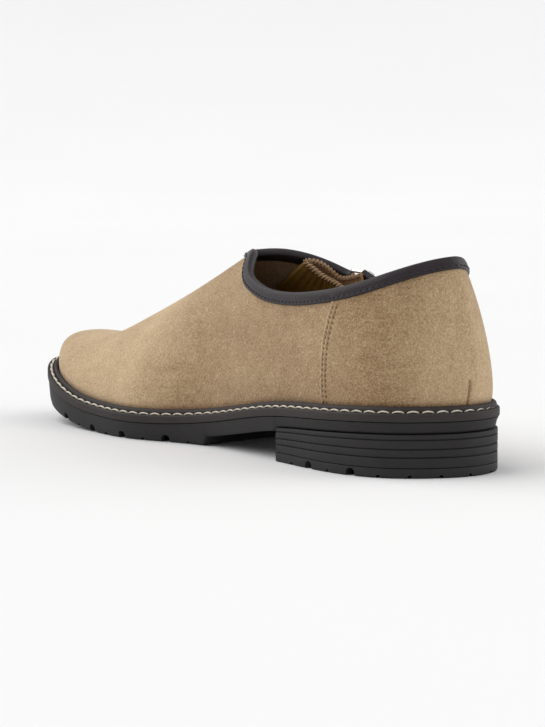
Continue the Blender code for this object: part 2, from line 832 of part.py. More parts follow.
def channel():
    side, turn, share = top_edge()
    is_inner = side > 0
    points = np.where(is_inner[:, None], rib(1, turn, share), rib(-1, turn, share))
    normals = np.where(is_inner[:, None], normal(1, turn, share), normal(-1, turn, share))
    meet = int(np.argmax(turn))
    for k, other in ((0, -1), (meet, -1)):
        mean = normals[k] + normal(other, turn[k : k + 1], share[k : k + 1])[0]
        normals[k] = mean / np.linalg.norm(mean)
    run = np.roll(points, -1, axis=0) - np.roll(points, 1, axis=0)
    run /= np.linalg.norm(run, axis=1)[:, None]
    down = np.cross(normals, run)
    down /= np.linalg.norm(down, axis=1)[:, None]
    down *= -np.sign(down[:, 2] - down[:, 0])[:, None]
    legs, leg_normals = [], []
    for distance in (0.0, 0.5 * BINDING_WIDTH, BINDING_WIDTH):
        target = points + down * distance
        on_inner, n_inner = touch(1, target, turn, share)
        on_outer, n_outer = touch(-1, target, turn, share)
        legs.append(np.where(is_inner[:, None], on_inner, on_outer))
        leg_normals.append(np.where(is_inner[:, None], n_inner, n_outer))
        for k in (0, meet):
            legs[-1][k] = (on_inner[k] + on_outer[k]) / 2
            mean = n_inner[k] + n_outer[k]
            leg_normals[-1][k] = mean / np.linalg.norm(mean)
    gap = 3 * CLEARANCE + np.where(turn < SEAM_TURN + 0.02, QUARTER_STEP, 0.0)[:, None]
    skin = BINDING_THICKNESS
    far = [p + n * (gap + skin) for p, n in zip(legs, leg_normals)]
    near = [p + n * gap for p, n in zip(legs, leg_normals)]
    lining = UPPER_WALL + 2 * CLEARANCE
    deep = [p - n * lining for p, n in zip(legs, leg_normals)]
    deepest = [p - n * (lining + skin) for p, n in zip(legs, leg_normals)]
    middle, half = (far[0] + deepest[0]) / 2, (far[0] - deepest[0]) / 2
    height = np.linalg.norm(half, axis=1)[:, None]
    crest = -down * 0.6 * height
    arc = [middle + half * math.cos(a) + crest * math.sin(a) for a in (0.8, 1.57, 2.34)]
    lid = -down * 2 * CLEARANCE
    section = (
        [far[2], far[1], far[0]]
        + arc
        + [deepest[0], deepest[1], deepest[2]]
        + [deep[2], deep[1], deep[0] + lid]
        + [near[0] + lid, near[1], near[2]]
    )
    count, size = len(section), len(points)
    faces = weave(count, size, closed=True)
    for j in range(size):
        k = (j + 1) % size
        last = (count - 1) * size
        faces.append((last + j, last + k, k, j))
    return mesh_of("collar_binding", np.concatenate(section), faces)


BINDING = keep("collar_binding", channel(), BINDING_LEATHER, 50)


# The outer side fastens: a slit runs down and forward from the top edge, a gusset tongue
# lies folded behind it, and a strap crosses it to a buckle.
# Their stations are shares of THROAT_AT and their heights shares of the throat's height.
THROAT_HEIGHT = float(ridge(THROAT_AT)[2])
SLIT_TOP = (0.721, 0.985)
SLIT_BOTTOM = (0.807, 0.570)
SLIT_WIDTH = 0.0050
STRAP_WIDTH = 0.0135
STRAP_THICKNESS = 0.0016
STRAP_DROP = 0.0135
BUCKLE_AT = 0.765
BUCKLE_LENGTH = 0.0170
BUCKLE_HEIGHT = 0.0240
BUCKLE_WIRE = 0.0011


def wedge(name):
    """The slit's prism: wide at the top, narrow at the bottom, all across the outer side."""
    scale = np.array([THROAT_AT, THROAT_HEIGHT])
    top, bottom = SLIT_TOP * scale, SLIT_BOTTOM * scale
    along = (bottom - top) / np.linalg.norm(bottom - top)
    aside = np.array([along[1], -along[0]])
    half = SLIT_WIDTH / 2
    corners = (
        top - along * 0.012 + aside * half * 1.4,
        bottom + aside * half * 0.4,
        bottom - aside * half * 0.4,
        top - along * 0.012 - aside * half * 1.4,
    )
    near = [(x, -0.016, z) for x, z in corners]
    far = [(x, -0.075, z) for x, z in corners]
    faces = [(0, 1, 2, 3), (4, 5, 6, 7)] + [(i, (i + 1) % 4, 4 + (i + 1) % 4, 4 + i) for i in range(4)]
    return mesh_of(name, near + far, faces)


cut(UPPER, wedge("slit"), "slit")
cut(BINDING, wedge("binding_slit"), "binding_slit")


STRAP = (
    # station, rise towards the throat, share of the full width
    (0.556, 0.125, 1.00),
    (0.608, 0.223, 1.00),
    (0.661, 0.332, 1.00),
    (0.714, 0.451, 1.00),
    (0.767, 0.549, 1.00),
    (0.820, 0.636, 1.00),
    (0.866, 0.712, 0.94),
    (0.890, 0.745, 0.66),
)


def strap_height(rise):
    """Height of the strap's middle: it climbs as the top edge does, STRAP_DROP under it."""
    return ANKLE_HEIGHT - STRAP_DROP + rise * (THROAT_HEIGHT - ANKLE_HEIGHT)


def strap_grid():
    """Lines across the strap, from its root on the quarter to its tip past the buckle."""
    across = np.linspace(-0.5, 0.5, 5) * STRAP_WIDTH * column(STRAP, 2)[:, None]
    x = column(STRAP, 0)[:, None] * THROAT_AT - 0.15 * across
    return on_upper(-1, x, strap_height(column(STRAP, 1))[:, None] + across)


points, normals = strap_grid()
under = 1.5 * CLEARANCE
keep("strap", slab("strap", points + normals * (under + STRAP_THICKNESS), points + normals * under), SUEDE)


TONGUE_THICKNESS = 0.0016
TONGUE = (
    # top: station, height; bottom: station, height; depth in from the wall's outer face
    (0.698, 0.919, 0.708, 0.591, 0.0046),
    (0.724, 0.906, 0.744, 0.580, 0.0046),
    (0.756, 0.897, 0.794, 0.580, 0.0046),
    (0.788, 0.895, 0.847, 0.591, 0.0046),
    (0.809, 0.919, 0.919, 0.607, 0.0046),
    (0.827, 0.958, 0.985, 0.635, 0.0046),
    (0.850, 0.988, 1.058, 0.678, 0.0048),
    (0.868, 1.001, 1.118, 0.733, 0.0060),
    (0.865, 1.010, 1.111, 0.744, 0.0085),
    (0.845, 0.996, 1.058, 0.722, 0.0105),
    (0.823, 0.972, 1.005, 0.700, 0.0120),
    (0.793, 0.950, 0.946, 0.678, 0.0132),
    (0.753, 0.927, 0.886, 0.667, 0.0145),
    (0.719, 0.895, 0.833, 0.656, 0.0155),
)


def tongue():
    """A folded sheet: one leaf lies along the outer wall behind the slit, the other turns
    back inwards from a fold that runs down and forward from the top edge."""
    leaf = np.array(TONGUE)
    top, bottom = leaf[:, None, 0:2], leaf[:, None, 2:4]
    level = np.linspace(0, 1, 4)[None, :, None]
    place = (bottom + (top - bottom) * level) * (THROAT_AT, THROAT_HEIGHT)
    wall, facing = on_upper(-1, place[..., 0], place[..., 1])
    sheet = wall - facing * leaf[:, None, 4:5]
    run, rise = np.gradient(sheet, axis=0), np.gradient(sheet, axis=1)
    across = np.cross(run, rise)
    across /= np.linalg.norm(across, axis=-1, keepdims=True)
    half = TONGUE_THICKNESS / 2
    return slab("tongue", sheet + across * half, sheet - across * half)


keep("tongue", tongue(), SUEDE)

METAL = material("bright_metal", (0.72, 0.70, 0.66), 0.25, 1.0)


def wire(name, points, radius, cyclic):
    """A bent wire with round section and filled ends."""
    curve = bpy.data.curves.new(name, "CURVE")
    curve.dimensions = "3D"
    curve.bevel_depth = radius
    curve.bevel_resolution = 1
    curve.use_fill_caps = True
    line = curve.splines.new("POLY")
    line.points.add(len(points) - 1)
    for knot, place in zip(line.points, points):
        knot.co = (*place, 1)
    line.use_cyclic_u = cyclic
    line.use_smooth = True
    curve.materials.append(METAL)
    obj = bpy.data.objects.new(name, curve)
    PARTS.objects.link(obj)
    obj.parent = FRAME


buckle_rise = float(np.interp(BUCKLE_AT, column(STRAP, 0), column(STRAP, 1)))
spot, facing = on_upper(-1, BUCKLE_AT * THROAT_AT, strap_height(buckle_rise))
ahead = np.array((1.0, 0.0, 0.10))
ahead -= facing * (ahead @ facing)
ahead /= np.linalg.norm(ahead)
upwards = np.cross(facing, ahead)
upwards *= np.sign(upwards[2])
seat = spot + facing * (under + STRAP_THICKNESS + CLEARANCE + BUCKLE_WIRE + 0.0003)
frame = []
for k in range(24):
    angle = 2 * math.pi * k / 24
    c, s = math.cos(angle), math.sin(angle)
    square = (c**6 + s**6) ** (-1 / 6)
    frame.append(seat + (ahead * BUCKLE_LENGTH * c + upwards * BUCKLE_HEIGHT * s) * square / 2)
wire("buckle_frame", frame, BUCKLE_WIRE, True)
prong = [
    seat + ahead * (-0.0068) + facing * 0.0000,
    seat + ahead * (-0.0020) + facing * 0.0004,
    seat + ahead * 0.0030 + facing * 0.0004,
    seat + ahead * 0.0066 + facing * 0.0000,
]
wire("buckle_prong", prong, 0.0008, False)
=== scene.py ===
# %% [markdown]
# # A low suede shoe on a moulded rubber sole
# The imported model gives every piece its place and size. This notebook dresses it: each
# plain solid but the buckle's is replaced by a fine surface worked out from the same last, and
# each gets the finish of the real material. Everything is in metres, in the imported model's frame.

# %% Load the imported model
import math

import bmesh
import bpy
import mathutils
import numpy as np
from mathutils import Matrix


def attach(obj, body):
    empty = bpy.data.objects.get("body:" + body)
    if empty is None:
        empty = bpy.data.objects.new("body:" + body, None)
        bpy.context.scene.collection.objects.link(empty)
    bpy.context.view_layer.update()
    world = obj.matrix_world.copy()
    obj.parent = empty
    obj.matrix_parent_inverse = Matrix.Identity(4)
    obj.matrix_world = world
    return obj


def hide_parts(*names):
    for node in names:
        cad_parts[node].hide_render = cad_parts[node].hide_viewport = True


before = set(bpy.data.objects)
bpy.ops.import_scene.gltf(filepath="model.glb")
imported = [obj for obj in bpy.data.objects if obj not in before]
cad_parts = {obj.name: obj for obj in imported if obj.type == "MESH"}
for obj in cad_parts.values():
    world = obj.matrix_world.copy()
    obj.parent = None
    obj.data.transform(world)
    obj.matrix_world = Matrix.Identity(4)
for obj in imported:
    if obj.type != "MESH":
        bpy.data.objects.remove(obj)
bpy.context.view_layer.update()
print("solids:", sorted(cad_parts))

# %% [markdown]
# ## The last
# A shoe is shaped on a last, a solid foot form. Modelling the last once as a function and
# reading every piece from it keeps the upper, its binding, the rim and the stitches in
# register. Here a few named sizes and short tables describe it, from heel to toe.

# %% Sizes of the shoe
SOLE_LENGTH = 0.300
BALL_WIDTH = 0.106
HEEL_WIDTH = 0.078
HEEL_HEIGHT = 0.0250
TOE_SPRING = 0.0137
FOREFOOT_THICKNESS = 0.0125
BAND_THICKNESS = 0.0038
HEEL_LAYER_THICKNESS = 0.0053
OUTSOLE_THICKNESS = 0.0070
LIFT_THICKNESS = 0.0046
HEEL_BREAST = 0.0905
TREAD_END = 0.1520
RIM_WIDTH = 0.0020
RIM_HEIGHT = 0.0026
LEDGE_WIDTH = 0.0040
UPPER_WALL = 0.0018
INSTEP_HEIGHT = 0.0930
THROAT_AT = 0.1512
BACK_HEIGHT = 0.0942
ANKLE_HEIGHT = 0.0730
BINDING_WIDTH = 0.0050
QUARTER_STEP = 0.0007

# %% Tables of the last
# station, inner width, outer width, share of the heel's width
OUTLINE = np.array([
    (0.000, 0.000, 0.000, 1.0), (0.020, 0.248, 0.244, 1.0), (0.068, 0.459, 0.380, 1.0),
    (0.155, 0.556, 0.467, 1.0), (0.285, 0.517, 0.518, 1.0), (0.410, 0.356, 0.455, 0.1),
    (0.530, 0.330, 0.524, 0.0), (0.655, 0.437, 0.560, 0.0), (0.745, 0.431, 0.530, 0.0),
    (0.850, 0.399, 0.450, 0.0), (0.940, 0.310, 0.320, 0.0), (0.988, 0.177, 0.154, 0.0),
    (1.000, 0.020, 0.020, 0.0),
])
# station, share of the heel's height, share of the toe's spring
SEAT = np.array([
    (0.00, 0.643, 0.00), (0.10, 0.626, 0.00), (0.20, 0.569, 0.00), (0.33, 0.450, 0.00),
    (0.45, 0.215, 0.00), (0.58, 0.020, 0.00), (0.70, 0.000, 0.01), (0.82, 0.000, 0.21),
    (0.92, 0.000, 0.79), (1.00, 0.000, 1.36),
])
# station, height, sideways place of the ridge over the foot
RIDGE = np.array([
    (0.150, 1.330, 0.020), (0.250, 1.290, 0.022), (0.350, 1.200, 0.025),
    (0.430, 1.112, 0.030), (0.490, 0.998, 0.033), (0.520, 0.950, 0.034),
    (0.620, 0.797, 0.036), (0.720, 0.656, 0.034), (0.800, 0.552, 0.028),
    (0.850, 0.492, 0.026), (0.885, 0.479, 0.024), (0.920, 0.481, 0.022),
])
# turn, wall up, wall out, crown out, crown up, for the inner and the outer side
RIBS = {
    1: np.array([
        (0.00, 0.19, 0.29, 0.82, -0.10), (0.20, 0.21, 0.07, 0.94, -0.12),
        (0.36, 0.40, 0.08, 1.15, -0.08), (0.50, 0.50, 0.10, 0.72, -0.03),
        (0.65, 0.38, 0.08, 0.59, -0.02), (0.80, 0.88, 0.09, 0.60, 0.01),
        (1.00, 0.93, 0.03, 0.44, 0.00),
    ]),
    -1: np.array([
        (0.00, 0.19, 0.29, 0.82, -0.10), (0.20, 0.05, 0.13, 0.83, -0.12),
        (0.36, 0.39, 0.03, 0.99, -0.08), (0.50, 0.33, 0.07, 0.44, -0.01),
        (0.65, 0.47, 0.10, 0.54, 0.00), (0.80, 0.58, 0.12, 0.51, -0.01),
        (1.00, 0.93, 0.03, 0.44, 0.00),
    ]),
}
# station, rise towards the back, rise towards the throat, of the top edge on each side
TOPLINE = {
    1: np.array([
        (0.00, 1.00, 0.00), (0.09, 1.02, 0.00), (0.16, 0.81, 0.00), (0.26, 0.50, 0.00),
        (0.40, 0.27, 0.00), (0.53, 0.13, 0.03), (0.63, 0.03, 0.12), (0.72, 0.00, 0.21),
        (0.80, 0.00, 0.36), (0.85, 0.00, 0.50), (0.88, 0.00, 0.67), (0.91, 0.00, 0.95),
        (0.95, 0.00, 1.06), (1.00, 0.00, 1.00),
    ]),
    -1: np.array([
        (0.00, 1.00, 0.00), (0.09, 1.02, 0.00), (0.16, 0.81, 0.00), (0.26, 0.51, 0.00),
        (0.40, 0.29, 0.04), (0.53, 0.14, 0.12), (0.62, 0.03, 0.25), (0.67, 0.00, 0.34),
        (0.70, 0.00, 0.46), (0.73, 0.00, 0.56), (0.76, 0.00, 0.47), (0.79, 0.00, 0.53),
        (0.85, 0.00, 0.78), (0.91, 0.00, 0.98), (0.95, 0.00, 1.04), (1.00, 0.00, 1.00),
    ]),
}


# %% A smooth curve through a table
def spline(knots, values, at):
    """Natural cubic spline: pieces of third degree whose slope and bend agree at the
    knots, with no bend at the ends."""
    x, y, at = np.asarray(knots, float), np.asarray(values, float), np.asarray(at, float)
    step, n = np.diff(x), len(x)
    matrix, right = np.eye(n), np.zeros((n,) + y.shape[1:])
    slope = (np.diff(y, axis=0).T / step).T
    for i in range(1, n - 1):
        matrix[i, i - 1 : i + 2] = step[i - 1], 2 * (step[i - 1] + step[i]), step[i]
        right[i] = 6 * (slope[i] - slope[i - 1])
    bend = np.linalg.solve(matrix, right)
    i = np.clip(np.searchsorted(x, at, side="right") - 1, 0, n - 2)
    a = (x[i + 1] - at) / step[i]
    span = step[i]
    if y.ndim > 1:
        a, span = a[..., None], span[..., None]
    b = 1 - a
    return a * y[i] + b * y[i + 1] + ((a**3 - a) * bend[i] + (b**3 - b) * bend[i + 1]) * span**2 / 6


# %% Plan outlines
def lengths_along(path):
    """Distance run along a row of points, from 0 at the first."""
    return np.concatenate([[0], np.cumsum(np.linalg.norm(np.diff(path, axis=0), axis=1))])


class Outline:
    """A closed plan curve held as a dense loop that starts at the back of the heel."""

    def __init__(self, loop):
        self.loop = np.roll(loop, -int(np.argmin(loop[:, 0])), axis=0)
        self.front = int(np.argmax(self.loop[:, 0]))
        self.low, self.high = self.loop[0, 0], self.loop[self.front, 0]

    @classmethod
    def through(cls, points, dense=1600):
        """Periodic spline through the points, run by the length of their chords."""
        ring = np.concatenate([points[-4:], points, points[:5]])
        chord = lengths_along(ring)
        run = np.linspace(chord[4], chord[4 + len(points)], dense, endpoint=False)
        return cls(spline(chord, ring, run))

    def inset(self, distance):
        """The loop moved inwards by a distance; a negative one moves it out."""
        run = np.roll(self.loop, -1, axis=0) - np.roll(self.loop, 1, axis=0)
        run /= np.linalg.norm(run, axis=1)[:, None]
        return Outline(self.loop + np.stack([run[:, 1], -run[:, 0]], axis=1) * distance)

    def edge(self, side, x):
        """Sideways place of the inner (1) or outer (-1) edge at station x."""
        if side > 0:
            half = self.loop[: self.front + 1]
        else:
            half = np.concatenate([self.loop[self.front :], self.loop[:1]])[::-1]
        return np.interp(x, half[:, 0], half[:, 1])

    def stations(self, turn):
        """Stations that crowd towards both ends: middle minus half times cos(pi turn)."""
        return (self.low + self.high) / 2 - (self.high - self.low) / 2 * np.cos(np.pi * turn)

    def turn_at(self, x):
        middle, half = (self.low + self.high) / 2, (self.high - self.low) / 2
        return np.arccos(np.clip((middle - x) / half, -1, 1)) / np.pi


def sole_outline():
    rule = OUTLINE[:, 3] * HEEL_WIDTH + (1 - OUTLINE[:, 3]) * BALL_WIDTH
    inner = np.stack([OUTLINE[:, 0] * SOLE_LENGTH, OUTLINE[:, 1] * rule], axis=1)
    outer = np.stack([OUTLINE[:, 0] * SOLE_LENGTH, -OUTLINE[:, 2] * rule], axis=1)[1:-1]
    outline = Outline.through(np.concatenate([inner, outer[::-1]]))
    loop = outline.loop.copy()
    loop[:, 0] = (loop[:, 0] - outline.low) * SOLE_LENGTH / (outline.high - outline.low)
    return Outline(loop)


SOLE = sole_outline()
FEATHER = SOLE.inset(LEDGE_WIDTH + RIM_WIDTH)
SHIFT = np.array([-SOLE_LENGTH / 2, -(SOLE.loop[:, 1].max() + SOLE.loop[:, 1].min()) / 2, 0.0])


# %% Heights along the shoe
def seat_top(x):
    """Top of the rubber band, on which the upper stands."""
    rise = SEAT[:, 1] * HEEL_HEIGHT + SEAT[:, 2] * TOE_SPRING
    return FOREFOOT_THICKNESS + spline(SEAT[:, 0] * SOLE_LENGTH, rise, x)


def ground_line(x):
    """Underside of the tread: flat on the floor, then rising to the toe."""
    start = 0.72 * SOLE_LENGTH
    return TOE_SPRING * np.clip((np.asarray(x, float) - start) / (SOLE_LENGTH - start), 0, 1) ** 1.8


def ridge(x):
    station = RIDGE[:, 0] * SOLE_LENGTH
    height = spline(station, RIDGE[:, 1] * INSTEP_HEIGHT, x)
    sideways = spline(station, RIDGE[:, 2] * BALL_WIDTH, x)
    return np.stack([x, sideways, height], axis=-1)


# %% The surface of the last
def rib(side, turn, share):
    """Cubic curve from the feather edge (share 0) to the ridge (share 1); its first handle
    goes up and out from the foot, its last goes out from the ridge."""
    turn, share = np.broadcast_arrays(np.asarray(turn, float), np.asarray(share, float))
    x = FEATHER.stations(turn)
    foot = np.stack([x, FEATHER.edge(side, x), seat_top(x) + 0.0003], axis=-1)
    first, last = RIDGE[0, 0] * SOLE_LENGTH, RIDGE[-1, 0] * SOLE_LENGTH
    swing = -np.cos(np.pi * turn)
    eased = 0.7 * np.sin(np.pi / 2 * swing) + 0.3 * swing
    top = ridge((first + last) / 2 + eased * (last - first) / 2)
    handle = spline(RIBS[side][:, 0], RIBS[side][:, 1:], turn)
    out = foot - top
    up = -out[..., 2:] * (0, 0, 1)
    out = out * (1, 1, 0)
    lower = foot + up * handle[..., 0:1] + out * handle[..., 1:2]
    upper = top + out * handle[..., 2:3] + up * handle[..., 3:4]
    t = share[..., None]
    return (1 - t) ** 3 * foot + 3 * (1 - t) ** 2 * t * lower + 3 * (1 - t) * t**2 * upper + t**3 * top


def facing(side, turn, share):
    """Unit normal of the last, out of the shoe, from two small steps along the surface."""
    step = 1e-4
    turn = np.clip(np.asarray(turn, float), 2 * step, 1 - 2 * step)
    share = np.clip(np.asarray(share, float), step, 1 - step)
    along = rib(side, turn + step, share) - rib(side, turn - step, share)
    up = rib(side, turn, share + step) - rib(side, turn, share - step)
    across = np.cross(up, along) * side
    return across / np.linalg.norm(across, axis=-1, keepdims=True)


# %% The top edge
def topline(side, x):
    """Height of the upper's top edge at station x."""
    table = TOPLINE[side]
    throat = float(ridge(THROAT_AT)[2])
    height = ANKLE_HEIGHT + table[:, 1] * (BACK_HEIGHT - ANKLE_HEIGHT)
    height = height + table[:, 2] * (throat - ANKLE_HEIGHT)
    return spline(table[:, 0] * THROAT_AT, height, x)


def bisect(test, low, high, rounds=45):
    """Halves the span between low and high, keeping the part where test changes."""
    low, high = np.array(low, float), np.array(high, float)
    for _ in range(rounds):
        middle = (low + high) / 2
        yes = test(middle)
        low, high = np.where(yes, middle, low), np.where(yes, high, middle)
    return low


THROAT_TURN = float(bisect(lambda t: rib(1, t, 1.0)[..., 0] < THROAT_AT, 0.2, 0.9))


def cut_share(side, turn):
    """Share of each rib below the top edge; 1 in front of the throat."""
    turn = np.atleast_1d(turn)

    def below(share):
        point = rib(side, turn, share)
        return point[:, 2] < topline(side, point[:, 0])

    share = bisect(below, np.full(turn.shape, 0.2), np.ones(turn.shape))
    return np.where(turn >= THROAT_TURN - 1e-9, 1.0, share)


print("throat at turn", round(THROAT_TURN, 4))


# %% From arrays to meshes
def quads(rows, columns, wrap=(False, False), start=0, flip=False):
    """Corner numbers of the squares of a grid of points stored row after row."""
    i = np.arange(rows if wrap[0] else rows - 1)[:, None]
    j = np.arange(columns if wrap[1] else columns - 1)[None, :]
    ni, nj = (i + 1) % rows, (j + 1) % columns
    corners = [i * columns + j, i * columns + nj, ni * columns + nj, ni * columns + j]
    corners = np.stack([np.broadcast_to(c, (i.size, j.size)) for c in corners], axis=-1)
    corners = corners.reshape(-1, 4) + start
    return corners[:, ::-1] if flip else corners


def mesh_from(name, points, faces, weld=2e-6, finish=None):
    """A closed mesh from arrays in the last's frame, moved to the model's frame, welded,
    its faces turned outwards. finish gives each face the number of its material."""
    mesh = bpy.data.meshes.new(name)
    mesh.from_pydata((np.asarray(points).reshape(-1, 3) + SHIFT).tolist(), [], np.asarray(faces).tolist())
    if finish is not None:
        mesh.polygons.foreach_set("material_index", finish)
    work = bmesh.new()
    work.from_mesh(mesh)
    if weld:
        bmesh.ops.remove_doubles(work, verts=work.verts, dist=weld)
    bmesh.ops.recalc_face_normals(work, faces=work.faces)
    work.to_mesh(mesh)
    work.free()
    mesh.shade_smooth()
    return mesh


def piece(name, mesh, finish, *nodes, slot=None, sharp=None):
    """Puts a mesh in the scene as a piece of the shoe that may replace CAD nodes."""
    if sharp:
        mesh.set_sharp_from_angle(angle=math.radians(sharp))
    for one in finish if isinstance(finish, (list, tuple)) else [finish]:
        mesh.materials.append(one)
    obj = bpy.data.objects.new(name, mesh)
    bpy.context.scene.collection.objects.link(obj)
    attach(obj, "root")
    if nodes:
        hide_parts(*nodes)
    print(f"{name}: {len(mesh.polygons)} faces")
    return obj


# %% [markdown]
# ## Writing shaders as sums
# A material is a graph of nodes. Wrapping a socket in a small class lets the maths be
# written as plain expressions, which read like the formula of the finish.

# %% Shader helper
class Val:
    """A node's output socket that can be added, multiplied and mixed in Python."""

    def __init__(self, tree, socket):
        self.tree, self.socket = tree, socket

    def node(self, kind, settings=None, **links):
        """Adds a node: settings first, then values or sockets for its inputs."""
        made = self.tree.nodes.new(kind)
        for key, value in (settings or {}).items():
            if key == "stops":
                ramp = made.color_ramp
                while len(ramp.elements) < len(value):
                    ramp.elements.new(0.5)
                for element, (spot, colour) in zip(ramp.elements, value):
                    element.position = spot
                    element.color = (*colour, 1)
            else:
                setattr(made, key, value)
        for key, value in links.items():
            key = int(key[1:]) if key[0] == "i" and key[1:].isdigit() else key.replace("_", " ")
            if isinstance(value, Val):
                self.tree.links.new(value.socket, made.inputs[key])
            else:
                made.inputs[key].default_value = value
        return made

    def math(self, operation, a, b=0.0):
        made = self.node("ShaderNodeMath", {"operation": operation}, i0=a, i1=b)
        return Val(self.tree, made.outputs[0])

    def __add__(self, other):
        return self.math("ADD", self, other)

    def __sub__(self, other):
        return self.math("SUBTRACT", self, other)

    def __rsub__(self, other):
        return self.math("SUBTRACT", other, self)

    def __mul__(self, other):
        return self.math("MULTIPLY", self, other)

    __radd__ = __add__
    __rmul__ = __mul__

    def ramp(self, low, high):
        """0 below low, 1 above high, straight between."""
        made = self.node("ShaderNodeMapRange", {"clamp": True}, i0=self, i1=low, i2=high)
        return Val(self.tree, made.outputs[0])

    def mix(self, a, b):
        """Colour a where this value is 0, colour b where it is 1."""
        made = self.node("ShaderNodeMix", {"data_type": "RGBA"}, i0=self)
        for index, colour in ((6, a), (7, b)):
            if isinstance(colour, Val):
                self.tree.links.new(colour.socket, made.inputs[index])
            else:
                made.inputs[index].default_value = (*colour, 1)
        return Val(self.tree, made.outputs[2])


class Finish:
    """A new material with its shader and the object's coordinates."""

    def __init__(self, name, **constants):
        self.material = bpy.data.materials.new(name)
        self.material.use_nodes = True
        self.tree = self.material.node_tree
        self.shader = self.tree.nodes["Principled BSDF"]
        for key, value in constants.items():
            socket = self.shader.inputs[key.replace("_", " ")]
            socket.default_value = (*value, 1) if isinstance(value, tuple) else value
        place = self.tree.nodes.new("ShaderNodeTexCoord")
        self.place = Val(self.tree, place.outputs["Object"])

    def noise(self, size, detail=3.0, rough=0.5, stretch=(1, 1, 1)):
        """Noise whose spots are about `size` metres across."""
        sized = self.place.node("ShaderNodeMapping", None, Vector=self.place)
        sized.inputs["Scale"].default_value = stretch
        made = self.place.node(
            "ShaderNodeTexNoise", None, Vector=Val(self.tree, sized.outputs[0]),
            Scale=1 / size, Detail=detail, Roughness=rough,
        )
        return Val(self.tree, made.outputs["Fac"])

    def cells(self, size, feature="F1"):
        settings = {"feature": feature}
        made = self.place.node("ShaderNodeTexVoronoi", settings, Vector=self.place, Scale=1 / size)
        return Val(self.tree, made.outputs["Distance"])

    def along(self, axis):
        made = self.place.node("ShaderNodeSeparateXYZ", None, Vector=self.place)
        return Val(self.tree, made.outputs["XYZ".index(axis)])

    def attribute(self, name):
        made = self.place.node("ShaderNodeAttribute", {"attribute_name": name})
        return Val(self.tree, made.outputs["Fac"])

    def feed(self, name, value):
        self.tree.links.new(value.socket, self.shader.inputs[name])

    def bump(self, height, distance, strength=1.0):
        """Bump whose full height is `distance` metres."""
        made = height.node("ShaderNodeBump", None, Height=height, Distance=distance, Strength=strength)
        self.tree.links.new(made.outputs["Normal"], self.shader.inputs["Normal"])


def linear(*bytes_):
    """Screen colour (0 to 255) to the linear values that shaders use."""
    c = np.array(bytes_) / 255
    return tuple(np.where(c < 0.04045, c / 12.92, ((c + 0.055) / 1.055) ** 2.4))


# %% [markdown]
# ## Finishes
# Suede is leather with its flesh side brushed into a short nap: it has no gloss, soft light
# catches the raised fibres, and the lie of the nap shows as darker and lighter clouds. The
# tone is noise at four sizes, three of which also feed the bump, and a stored shade
# attribute paints shade into the colour over the middle of the shoe, with a painted
# highlight along the quarter's lip. A sheen lobe lights the fibres.

# %% Suede
def suede_finish(name, light, dark, painted_shade_attribute=False):
    suede = Finish(name, Roughness=0.95, Sheen_Weight=0.25, Sheen_Roughness=0.6, Sheen_Tint=(1.0, 0.9, 0.75))
    suede.shader.inputs["Specular IOR Level"].default_value = 0.15
    clouds = suede.noise(0.016, 2.0, 0.5)
    lie = suede.noise(0.0045, 3.0, 0.6)
    nap = suede.noise(0.0009, 4.0, 0.65)
    fibre = suede.noise(0.0005, 2.0, 0.6)
    tone = clouds * 0.16 + lie * 0.14 + nap * 0.62 + fibre * 0.40
    # Painted shade: the stored attribute lowers the tone, and with it the colour.
    if painted_shade_attribute:
        tone = tone - suede.attribute("shade") * 0.35
    # The deepest stop lets the painted shade darken the colour below the nap's darkest tone.
    deep = tuple(0.35 * c for c in dark)
    colour = tone.node("ShaderNodeValToRGB", {"stops": [(0.16, deep), (0.40, dark), (0.94, light)]}, i0=tone)
    suede.tree.links.new(colour.outputs[0], suede.shader.inputs["Base Color"])
    suede.bump(nap * 0.7 + fibre * 0.3 + lie * 0.5, 0.0007, 0.75)
    return suede.material


SUEDE = suede_finish("sand_suede", linear(229, 203, 164), linear(138, 108, 76), True)
SUEDE_EDGE = suede_finish("suede_cut_edge", linear(190, 150, 105), linear(112, 78, 48))


# %% Rubber
def rubber_finish(name, tone):
    rubber = Finish(name, Roughness=0.62)
    rubber.shader.inputs["Specular IOR Level"].default_value = 0.22
    dust = rubber.noise(0.010, 4.0, 0.6)
    speck = rubber.noise(0.0008, 3.0, 0.6)
    light = tuple(1.25 * c for c in tone)
    dark = tuple(0.82 * c for c in tone)
    rubber.feed("Base Color", (dust * 0.6 + speck * 0.4).ramp(0.3, 0.7).mix(dark, light))
    rubber.feed("Roughness", dust * 0.2 + 0.5)
    rubber.bump(speck, 0.0002, 0.4)
    return rubber.material


RUBBER = rubber_finish("dark_rubber", linear(43, 41, 42))
RIM_RUBBER = rubber_finish("rim_rubber", linear(52, 47, 46))


# %% Leathers, lining, thread and metal
def leather_finish(name, tone, gloss):
    leather = Finish(name, Roughness=gloss, Coat_Weight=0.05, Coat_Roughness=0.3)
    leather.shader.inputs["Specular IOR Level"].default_value = 0.25
    grain = leather.cells(0.0009, "F1")
    wear = leather.noise(0.006, 3.0, 0.5)
    light = tuple(1.35 * c for c in tone)
    leather.feed("Base Color", wear.ramp(0.3, 0.7).mix(tone, light))
    leather.feed("Roughness", wear * 0.2 + (gloss - 0.1))
    leather.bump(grain, 0.00025, 0.5)
    return leather.material


BINDING = leather_finish("dark_binding", linear(40, 34, 38), 0.42)
LINING = leather_finish("olive_lining", linear(88, 62, 16), 0.7)
INSOLE = leather_finish("insole_leather", linear(96, 68, 28), 0.65)


def thread_finish(name, tone):
    thread = Finish(name, Roughness=0.8, Sheen_Weight=0.2)
    twist = thread.noise(0.0006, 2.0, 0.5)
    dark = tuple(0.7 * c for c in tone)
    thread.feed("Base Color", twist.ramp(0.3, 0.7).mix(dark, tone))
    thread.bump(twist, 0.0002, 0.5)
    return thread.material


